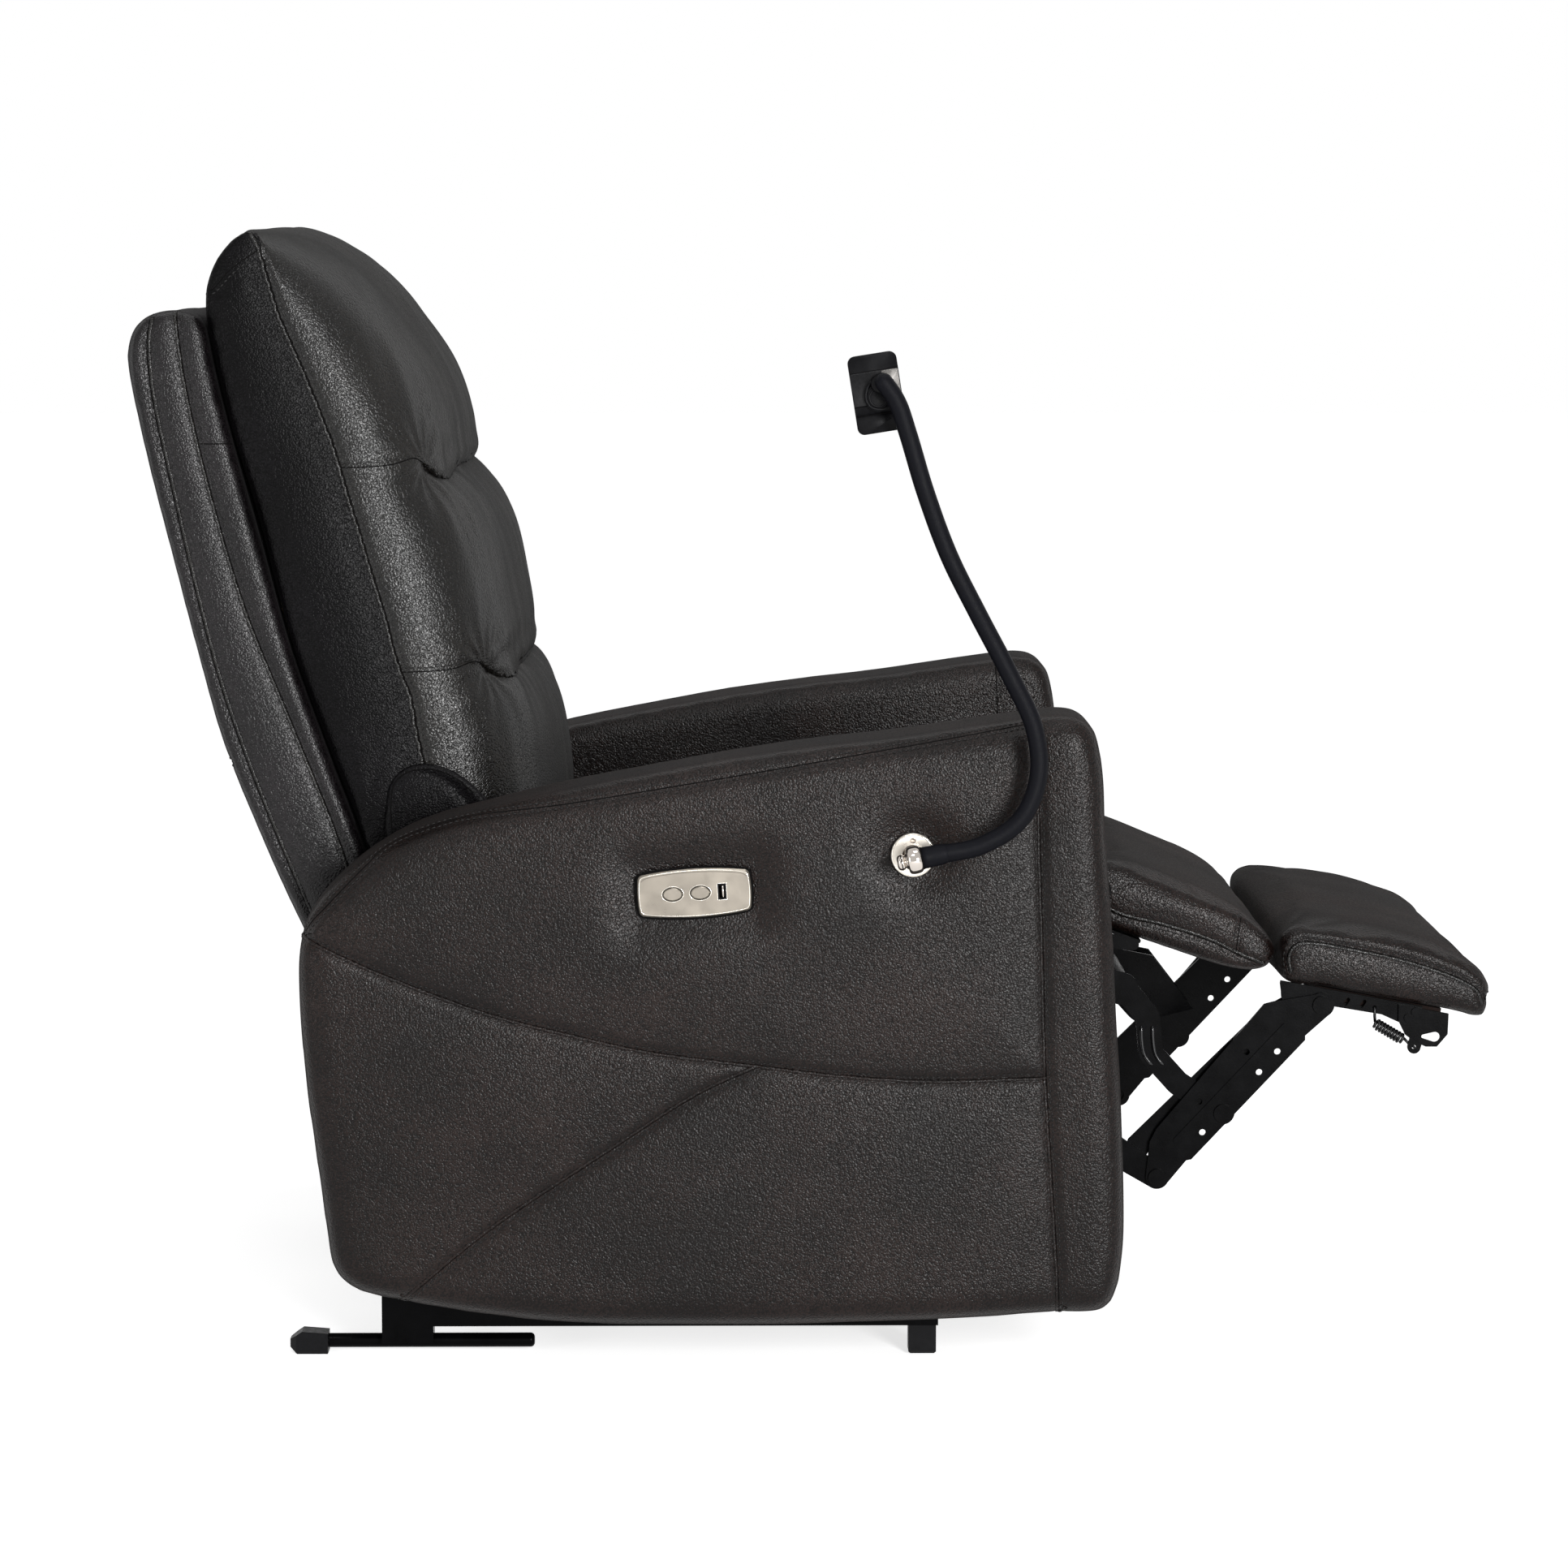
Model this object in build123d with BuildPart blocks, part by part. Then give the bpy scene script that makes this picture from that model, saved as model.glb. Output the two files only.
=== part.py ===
"""Power recliner armchair: reclining back, fold-out footrest linkage, and a phone holder on the sitter's right arm.

+X is the way the sitter faces, +Z is up, and the floor is Z = 0, in millimetres. The origin is on the floor under
the middle of the whole chair, phone holder included, so the chair's own centre plane lies a little to +Y of it.
A pair of numbers is a point seen from the side: forward, then up. Pieces are at rest with the footrest out.
"""
from build123d import *
import os
from math import atan2, cos, degrees, hypot, pi, radians, sin, tan

# ---------------------------------------------------------------- driving dimensions
# Upholstered outside
seat_half_width = 288.0  # chair's centre plane to the arms' inner faces
arm_thickness = 130.0
arm_edge_r = 24.0
soft_gap = 0.3  # between a soft piece and its neighbour

# Footrest linkage, three layers of strip steel on each side of the seat
link_t = 3.5
layer_gap = 0.7
mechanism_inset = 44.0  # arm to the inner face of the side plates and channel links
pivot_r = 4.0
pivot_clearance = 0.05
open_pivot_clearance = 1.8  # lower link to channel link
stud_clearance = 0.3  # upper link and pad link on their studs
rivet_head_r = 9.0
rivet_head_t = 3.0
stud_head_r = 7.0
stud_head_t = 2.5
stud_play = 0.2

lower_seat_pivot = (109.0, 325.0)
upper_seat_pivot = (170.5, 374.0)
knee_pivot = (336.0, 163.0)  # lower link to channel link
channel_pivot = (400.0, 227.0)  # rear link to channel link
toe_pivot = (496.0, 334.0)  # channel link to ottoman bracket
upper_link_pivot = (310.0, 178.0)  # lower link to upper link
heel_pivot = (470.0, 336.0)  # upper link to ottoman bracket
pad_hinge = (278.0, 448.0)  # mid pad on the side plates
pad_link_low = (151.7, 322.1)  # pad link on the rear link
pad_link_high = (262.9, 401.0)  # pad link on the mid-pad bracket
back_hinge = (-300.0, 440.0)
footrest_travel = 65.3  # degrees that the rear links turn to stow the footrest

# Mid pad and ottoman
mid_pad_slope = 20.0
mid_pad_gap = 0.6  # mid pad to the layer of its brackets
mid_pad_bottom = -34.0
ottoman_slope = 10.5
ottoman_overhang = 7.5  # ottoman pad beyond the outer layer
board_t = 11.0
flange_t = 3.0
flange_low = 2.2  # ottoman bracket flange above the toe pivot
spring_hole_r = 2.0
spring_hole = (52.0, 6.5)  # in the ottoman bracket, along and square to the ottoman
spring_eye = (97.0, -24.5)  # in the stop plate

# Seat
seat_rear_x = -240.0
seat_front_x = 236.0
seat_crossbar_x = (40.0, -245.0)
crossbar_w = 24.0
crossbar_low = 340.0
crossbar_h = 25.0
beam_h = 30.0
beam_w = 32.0
beam_inset = 12.0  # side plate to the seat beams
butt_gap = 0.1
webbing_t = 2.0
webbing_w = 54.0
webbing_count = 5
cushion_gap = 4.0  # seat cushion to the arms
cushion_edge_h = 55.0
cushion_crown_h = 93.0

# Base
rail_outset = 2.0  # base rails' centre lines beyond the arms' inner faces
rail_w = 25.0
rail_h = 22.0
rail_low = 28.0
rail_wall = 2.0
rail_rear_x = -422.0
rail_front_x = 119.0
floor_bar_r = 7.0
floor_bar_z = 11.0
floor_bar_rear_x = -485.0
floor_bar_front_x = -274.0
floor_bar_inset = 5.0  # floor bars inside the rails' centre lines
floor_cap_front_x = -475.0
floor_cap_rear_x = -512.0
foot_front_x = 117.0
foot_length = 27.0

# Back
back_gap = 8.0  # shell to the arms
pillow_gap = 10.0  # pillow to the arms, filled by the ears
pillow_seam_low = (-372.0, 483.0)
pillow_seam_high = (-514.0, 1010.0)
pillow_depth = 139.0  # front of the channels ahead of the side seams
tray_wall = 18.0
tray_depth = 36.0
back_rail_h = 50.0

# Drive
drive_rail_w = 24.0
drive_rail_z = 287.0
drive_rail_rear_x = -215.0
drive_rail_front_x = 229.0
slide_play = 0.2
drive_pin_r = 5.0
slot_half_width = 7.8
cross_tube_r = 11.0
cross_tube_bore_r = 8.5
cross_tube_at = (300.0, 350.0)
cheek_t = 4.0
cheek_y = 22.0

# Controls on the right arm
plate_at = (-116.5, 467.5)
plate_tilt = 3.4
plate_w = 104.0
plate_h = 40.0
plate_t = 4.0
switch_pocket_depth = 16.0
button_w = 18.0
button_h = 12.0
button_x = (-20.5, 5.5)
button_length = 8.0
button_proud = 1.2
button_gap = 0.25
usb_x = 26.0
usb_slot_w = 5.6
usb_slot_h = 12.6
usb_wall = 1.4
usb_depth = 13.0

# Phone holder
flange_at = (89.0, 503.0)
holder_flange_r = 21.0
holder_flange_t = 4.0
stem_r = 7.0
neck_r = 8.5
neck_standoff = 40.0  # neck's centre line beyond the arm's outer face
neck_points = [
    (150, 516), (187, 540), (204, 580), (200, 626), (177, 676), (147, 733), (120, 787),
    (98, 846), (82, 899), (72, 928), (58, 948),
]
ball_r = 7.5
ball_play = 0.08
stud_r = 4.0
clip_w = 46.0
clip_tilt = 9.0
jaw_travel = 22.0

# ---------------------------------------------------------------- worked-out sizes
chair_half_width = seat_half_width + arm_thickness
outer_layer_y = seat_half_width - mechanism_inset
middle_layer_y = outer_layer_y - layer_gap - link_t
inner_layer_y = middle_layer_y - layer_gap - link_t
plate_outer_y = outer_layer_y + link_t
beam_half_span = outer_layer_y - beam_inset
mid_pad_half_width = middle_layer_y - mid_pad_gap
ottoman_half_width = plate_outer_y + ottoman_overhang
rail_y = seat_half_width + rail_outset
floor_bar_y = rail_y - floor_bar_inset
back_half_width = seat_half_width - back_gap
pillow_half_width = seat_half_width - pillow_gap
neck_y = chair_half_width + neck_standoff
rail_top = rail_low + rail_h
crossbar_top = crossbar_low + crossbar_h
beam_top = crossbar_top + beam_h
cushion_low = beam_top + webbing_t
centre_y = (neck_y + neck_r - chair_half_width) / 2
centre_plane = Plane.XZ.offset(-centre_y)


def side(y):
    """Upright plane at this distance to the left of the chair's centre; it extrudes towards the right."""
    return Plane.XZ.offset(-(centre_y + y))


def sloped(origin, slope, y):
    """The same plane with its origin on a pivot and its first axis sloping down forwards."""
    a = radians(slope)
    return Plane(origin=(origin[0], centre_y + y, origin[1]), x_dir=(cos(a), 0, -sin(a)), z_dir=(0, -1, 0))


def write(part, name):
    part.label = name
    export_step(part, f"parts/{name}.step")


def write_pair(part, name):
    """Writes the left piece and its mirror image on the right."""
    write(part, f"{name}_left")
    write(mirror(part, about=centre_plane), f"{name}_right")


def in_frame(point, origin, slope):
    """A side-view point given along and square to a slope through another point."""
    a = radians(slope)
    x = point[0] - origin[0]
    z = point[1] - origin[1]
    return (x * cos(a) - z * sin(a), x * sin(a) + z * cos(a))


def hull_of(*discs):
    """Adds the outline stretched round a few discs to the sketch being built."""
    with BuildSketch(Plane.XY, mode=Mode.PRIVATE) as outline:
        for point, radius in discs:
            with Locations(point):
                Circle(radius)
        make_hull()
    add(outline.sketch_local)


def punch(radius, *points):
    with Locations(*points):
        Circle(radius, mode=Mode.SUBTRACT)


def disc(plane, point, radius, thickness):
    """Adds a round boss to the part being built."""
    with BuildSketch(plane) as boss:
        with Locations(point):
            Circle(radius)
    extrude(boss.sketch, amount=thickness)


def rivet(point, length):
    """Headed pin through the outer layer, its head on the outside."""
    disc(side(plate_outer_y + rivet_head_t), point, rivet_head_r, rivet_head_t)
    disc(side(plate_outer_y), point, pivot_r, length)


def stud(plane_at, point):
    """Headed stud standing inwards from a middle-layer plate, to carry an inner-layer link."""
    reach = middle_layer_y - inner_layer_y + stud_play
    disc(plane_at(middle_layer_y), point, pivot_r, reach)
    disc(plane_at(middle_layer_y - reach), point, stud_head_r, stud_head_t)


def swing(point, pivot, angle):
    """Where a side-view point goes when it turns about a pivot."""
    a = radians(angle)
    x = point[0] - pivot[0]
    z = point[1] - pivot[1]
    return (pivot[0] + x * cos(a) - z * sin(a), pivot[1] + x * sin(a) + z * cos(a))


os.makedirs("parts", exist_ok=True)


# ---------------------------------------------------------------- base
def make_base():
    with BuildPart() as base_rail:
        rail_mid_x = (rail_rear_x + rail_front_x) / 2
        rail_length = rail_front_x - rail_rear_x
        with Locations((rail_mid_x, centre_y + rail_y, rail_low + rail_h / 2)):
            Box(rail_length, rail_w, rail_h)
            Box(rail_length, rail_w - 2 * rail_wall, rail_h - 2 * rail_wall, mode=Mode.SUBTRACT)
        # rear end bracket, standing on the floor bar in a round saddle
        bracket_length = 50
        bracket_top = 62
        with BuildSketch(side(rail_y + rail_w / 2)):
            with Locations((rail_rear_x + bracket_length / 2, (floor_bar_z + bracket_top) / 2)):
                Rectangle(bracket_length, bracket_top - floor_bar_z)
        extrude(amount=rail_w)
        with Locations(Location((rail_rear_x + bracket_length / 2, centre_y + floor_bar_y, floor_bar_z), (0, 90, 0))):
            Cylinder(floor_bar_r, bracket_length, mode=Mode.SUBTRACT)
    write_pair(base_rail.part, "base_rail")

    for name, x in (("base_crossbar_front", -10.0), ("base_crossbar_rear", -281.0)):
        with BuildPart() as crossbar:
            with Locations((x, centre_y, rail_low + rail_h / 2)):
                Box(30, 2 * (rail_y - rail_w / 2), rail_h)
                Box(30 - 2 * rail_wall, 2 * (rail_y - rail_w / 2), rail_h - 2 * rail_wall, mode=Mode.SUBTRACT)
        write(crossbar.part, name)

    with BuildPart() as floor_bar:
        bar_length = floor_bar_front_x - floor_bar_rear_x
        bar_mid = (floor_bar_front_x + floor_bar_rear_x) / 2
        with Locations(Location((bar_mid, centre_y + floor_bar_y, floor_bar_z), (0, 90, 0))):
            Cylinder(floor_bar_r, bar_length)
        fillet(floor_bar.faces().sort_by(Axis.X)[-1].edges(), floor_bar_r * 0.6)
    write_pair(floor_bar.part, "floor_bar")

    with BuildPart() as floor_bar_caps:
        cap_h = 22
        cap_w = 26
        with BuildSketch(side(floor_bar_y + cap_w / 2)):
            with BuildLine():
                Polyline(
                    (floor_cap_front_x, 0), (floor_cap_front_x, cap_h - 2), (floor_cap_rear_x + 12, cap_h),
                    (floor_cap_rear_x, 14), (floor_cap_rear_x, 6), (floor_cap_rear_x + 7, 0), close=True,
                )
            make_face()
        extrude(amount=cap_w)
        chamfer(floor_bar_caps.faces().sort_by(Axis.X)[0].edges().filter_by(Axis.Z), 6)
        with Locations(Location(((floor_bar_rear_x + floor_cap_front_x) / 2, centre_y + floor_bar_y, floor_bar_z), (0, 90, 0))):
            Cylinder(floor_bar_r, floor_cap_front_x - floor_bar_rear_x, mode=Mode.SUBTRACT)
        mirror(about=centre_plane)
    write(floor_bar_caps.part, "floor_bar_caps")

    with BuildPart() as front_feet:
        with Locations((foot_front_x - foot_length / 2, centre_y + rail_y, rail_low / 2)):
            Box(foot_length, rail_w, rail_low)
        chamfer(front_feet.faces().sort_by(Axis.Z)[0].edges(), 2)
        mirror(about=centre_plane)
    write(front_feet.part, "front_feet")


# ---------------------------------------------------------------- seat frame and side plates
def make_seat_frame():
    with BuildPart() as side_plate:
        with BuildSketch(side(plate_outer_y)):
            with BuildLine():
                Polyline(
                    (-318, 300), (-318, 400), (back_hinge[0] - 14, back_hinge[1]), (back_hinge[0] + 14, back_hinge[1]),
                    (-262, beam_top - 3), (upper_seat_pivot[0] + 60, beam_top - 3), (upper_seat_pivot[0] + 44, 350),
                    (lower_seat_pivot[0] + 18, lower_seat_pivot[1] - 22), (-40, 285), close=True,
                )
            make_face()
            hull_of((back_hinge, 14))
            hull_of((pad_hinge, 11), ((upper_seat_pivot[0] + 60, 376), 16))
            punch(pivot_r, back_hinge, lower_seat_pivot, upper_seat_pivot, pad_hinge)
            punch(9, (-120, 330), (0, 330))
        extrude(amount=link_t)
        # legs down to the base crossbars, lapped on the outside of the plate
        with BuildSketch(side(plate_outer_y + link_t)):
            for leg_x in (-10.0, -281.0):
                with Locations((leg_x, (rail_top + 340) / 2)):
                    Rectangle(34, 340 - rail_top)
        extrude(amount=link_t)
    write_pair(side_plate.part, "side_plate")

    with BuildPart() as seat_pivot_pins:
        for pivot in (lower_seat_pivot, upper_seat_pivot, pad_hinge, back_hinge):
            rivet(pivot, plate_outer_y - middle_layer_y)
        mirror(about=centre_plane)
    write(seat_pivot_pins.part, "seat_pivot_pins")

    with BuildPart() as seat_crossbars:
        for x in seat_crossbar_x:
            with Locations((x, centre_y, crossbar_low + crossbar_h / 2)):
                Box(crossbar_w, 2 * outer_layer_y, crossbar_h)
                Box(crossbar_w - 4, 2 * outer_layer_y, crossbar_h - 4, mode=Mode.SUBTRACT)
    write(seat_crossbars.part, "seat_crossbars")

    beam_length = seat_front_x - 4 - seat_rear_x
    beam_mid_x = seat_rear_x + beam_length / 2
    # two side beams with two rails butted between them
    with BuildPart() as seat_frame:
        with Locations((beam_mid_x, centre_y, crossbar_top + beam_h / 2)):
            with GridLocations(1, 2 * beam_half_span - beam_w, 1, 2):
                Box(beam_length, beam_w, beam_h)
            with GridLocations(beam_length - beam_w, 1, 2, 1):
                Box(beam_w, 2 * (beam_half_span - beam_w - butt_gap), beam_h)
    write(seat_frame.part, "seat_frame")

    with BuildPart() as seat_webbing:
        with Locations((beam_mid_x, centre_y, beam_top + webbing_t / 2)):
            with GridLocations(beam_length / webbing_count, 1, webbing_count, 1):
                Box(webbing_w, 2 * beam_half_span, webbing_t)
    write(seat_webbing.part, "seat_webbing")

    cushion_half_width = seat_half_width - cushion_gap
    cushion_edge = cushion_low + cushion_edge_h
    cushion_crown = cushion_low + cushion_crown_h
    with BuildPart() as seat_cushion:
        with BuildSketch(side(cushion_half_width)):
            with BuildLine():
                Line((seat_rear_x, cushion_low), (seat_rear_x, cushion_edge))
                ThreePointArc((seat_rear_x, cushion_edge), (0, cushion_crown - 1), (seat_front_x - 38, cushion_crown))
                ThreePointArc(
                    (seat_front_x - 38, cushion_crown), (seat_front_x - 8, cushion_crown - 11), (seat_front_x, cushion_edge)
                )
                Line((seat_front_x, cushion_edge), (seat_front_x, cushion_low))
                Line((seat_front_x, cushion_low), (seat_rear_x, cushion_low))
            make_face()
        extrude(amount=2 * cushion_half_width)
        fillet(seat_cushion.faces().sort_by(Axis.Y)[0].edges().group_by(Axis.Z)[-1], 16)
        fillet(seat_cushion.faces().sort_by(Axis.Y)[-1].edges().group_by(Axis.Z)[-1], 16)
        # room beside the front corners for the pad links when the footrest is stowed
        notch_y = inner_layer_y - stud_play - stud_head_t - 0.6
        notch_length = 116
        notch_top = cushion_edge + 11
        for sign in (-1, 1):
            with Locations(
                (
                    seat_front_x + 2 - notch_length / 2, centre_y + sign * (notch_y + cushion_half_width) / 2,
                    (cushion_low + notch_top) / 2,
                )
            ):
                Box(notch_length, cushion_half_width - notch_y, notch_top - cushion_low, mode=Mode.SUBTRACT)
    write(seat_cushion.part, "seat_cushion")


# ---------------------------------------------------------------- arms
def arm_outline():
    """Outline of an arm: nearly upright front, top falling backwards, well-rounded rear shoulder."""
    FilletPolyline(
        (292, 61), (287, 300), (268, 639), (0, 604), (-300, 549), (-492, 492), (-489, 330), (-463, 84),
        (-200, 50), (0, 50),
        radius=[42, 1500, 32, 1500, 700, 108, 900, 38, 900, 900], close=True,
    )


def make_arms():
    panel_x = (-280.0, 100.0)
    panel_y = rail_y + 2
    panel_t = 15.0
    panel_top = 470.0
    for name, sign in (("left", 1), ("right", -1)):
        with BuildPart() as arm:
            with BuildSketch(side(chair_half_width if sign > 0 else -seat_half_width)):
                with BuildLine():
                    arm_outline()
                make_face()
            extrude(amount=arm_thickness)
            fillet(arm.faces().filter_by(Axis.Y).edges(), arm_edge_r)
            with Locations(
                (
                    (panel_x[0] + panel_x[1]) / 2, centre_y + sign * (panel_y + panel_t / 2),
                    (rail_top + panel_top) / 2,
                )
            ):
                Box(panel_x[1] - panel_x[0], panel_t, panel_top - rail_top, mode=Mode.SUBTRACT)
            if sign < 0:
                with BuildSketch(sloped(plate_at, -plate_tilt, -chair_half_width)):
                    RectangleRounded(plate_w - 16, plate_h - 12, 6)
                extrude(amount=-switch_pocket_depth, mode=Mode.SUBTRACT)
        write(arm.part, f"arm_{name}")
        with BuildPart() as arm_frame:
            with Locations(
                (
                    (panel_x[0] + panel_x[1]) / 2, centre_y + sign * (panel_y + panel_t / 2),
                    (rail_top + panel_top) / 2,
                )
            ):
                Box(panel_x[1] - panel_x[0], panel_t, panel_top - rail_top)
        write(arm_frame.part, f"arm_frame_{name}")


# ---------------------------------------------------------------- back
shell_front_top = (-584.0, 996.0)
shell_front_mid = (-507.0, 690.0)
shell_front_low = (-433.0, 479.0)
shell_front_foot = (-398.0, 312.0)


def shell_front(shift):
    """The back's dividing curve between shell and pillow, moved forwards by the given amount."""
    points = [(x + shift, z) for x, z in (shell_front_top, shell_front_mid, shell_front_low, shell_front_foot)]
    ThreePointArc(points[0], points[1], points[2])
    Line(points[2], points[3])
    return points


def make_back():
    pocket_low = 335.0
    pocket_high = 950.0
    with BuildPart() as back_shell:
        with BuildSketch(side(back_half_width)):
            with BuildLine():
                shell_front(0)
                FilletPolyline(
                    shell_front_foot, (-452, 312), (-611, 657), (-662, 985), (-640, 1012), shell_front_top,
                    radius=[20, 2100, 26, 16],
                )
            make_face()
        extrude(amount=2 * back_half_width)
        front_faces = back_shell.faces().filter_by(lambda face: face.normal_at().X > 0.8)
        fillet(back_shell.faces().filter_by(Axis.Y).edges() - front_faces.edges(), 22)
        with BuildSketch(side(back_half_width - tray_wall)):
            with BuildLine():
                front = shell_front(1)
                rear = shell_front(-tray_depth)
                Line(front[0], rear[0])
                Line(front[3], rear[3])
            make_face()
            with Locations((-500, pocket_low - 100), (-500, pocket_high + 100)):
                Rectangle(400, 200, mode=Mode.SUBTRACT)
        extrude(amount=2 * (back_half_width - tray_wall), mode=Mode.SUBTRACT)
    write(back_shell.part, "back_shell")

    with BuildPart() as back_frame:
        with BuildSketch(side(middle_layer_y)):
            with BuildLine():
                front = shell_front(0)
                rear = shell_front(-tray_depth)
                Line(front[0], rear[0])
                Line(front[3], rear[3])
            make_face()
            with Locations((-500, pocket_low - 100), (-500, pocket_high + 100)):
                Rectangle(400, 200, mode=Mode.SUBTRACT)
        extrude(amount=2 * middle_layer_y)
        bays = 3
        bay_pitch = (pocket_high - pocket_low - back_rail_h) / bays
        for bay in range(bays):
            with Locations((-500, centre_y, pocket_low + back_rail_h + (bay + 0.5) * bay_pitch - back_rail_h / 2)):
                Box(500, 2 * (middle_layer_y - 40), bay_pitch - back_rail_h, mode=Mode.SUBTRACT)
    write(back_frame.part, "back_frame")

    with BuildPart() as back_bracket:
        with BuildSketch(side(middle_layer_y + link_t)):
            hull_of((back_hinge, 13), ((-452, 466), 11))
            hull_of(((-452, 466), 11), ((-508, 640), 9))
            punch(pivot_r + pivot_clearance, back_hinge)
            punch(4, (-468, 520), (-500, 620))
        extrude(amount=link_t)
    write_pair(back_bracket.part, "back_bracket")

    # three-channel pillow: each channel bulges forwards between sewn pinches
    pinch_low = (-284.0, 666.0)
    pinch_high = (-345.0, 863.0)
    crown = (-455.0, 1064.0)
    with BuildPart() as back_pillow:
        with BuildSketch(side(pillow_half_width)):
            with BuildLine():
                rear_low = (shell_front_low[0] + soft_gap, shell_front_low[1] + 16)
                ThreePointArc((-262, 480), (-247, 570), pinch_low)
                ThreePointArc(pinch_low, (-290, 765), pinch_high)
                ThreePointArc(pinch_high, (-379, 982), crown)
                ThreePointArc(crown, (-532, 1094), (-588, 1046))
                Line((-588, 1046), (shell_front_top[0] + 1.5, shell_front_top[1]))
                ThreePointArc(
                    (shell_front_top[0] + 1.5, shell_front_top[1]), (shell_front_mid[0] + 1.5, shell_front_mid[1]), rear_low
                )
                Line(rear_low, (-262, 480))
            make_face()
        extrude(amount=2 * pillow_half_width)
        # the front curves back to the side seams
        along_seam = (pillow_seam_high[0] - pillow_seam_low[0], 0, pillow_seam_high[1] - pillow_seam_low[1])
        plan = Plane(origin=(pillow_seam_low[0], centre_y, pillow_seam_low[1]), x_dir=(0, -1, 0), z_dir=along_seam)
        curve = [(1, 0), (0.9, 0.6), (0.7, 0.84), (0.4, 0.97), (0, 1), (-0.4, 0.97), (-0.7, 0.84), (-0.9, 0.6), (-1, 0)]
        with BuildSketch(plan.offset(-100)):
            with BuildLine():
                front = [(pillow_half_width * across, pillow_depth * ahead) for across, ahead in curve]
                Spline(*front, tangents=((0, 1), (0, -1)))
                Polyline(front[-1], (-pillow_half_width, -400), (pillow_half_width, -400), front[0])
            make_face()
        extrude(amount=900, mode=Mode.INTERSECT)
    write(back_pillow.part, "back_pillow")

    # ears that close the corner between pillow and arm
    ear_t = seat_half_width - pillow_half_width - 2 * soft_gap
    with BuildPart() as back_ear:
        with BuildSketch(side(seat_half_width - soft_gap)):
            with BuildLine():
                Polyline((-313, 539), (-318, 500), (-408, 496), (-414, 543))
                Spline((-414, 543), (-396, 571), (-350, 567), (-313, 539))
            make_face()
        extrude(amount=ear_t)
    write_pair(back_ear.part, "back_ear")


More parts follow.
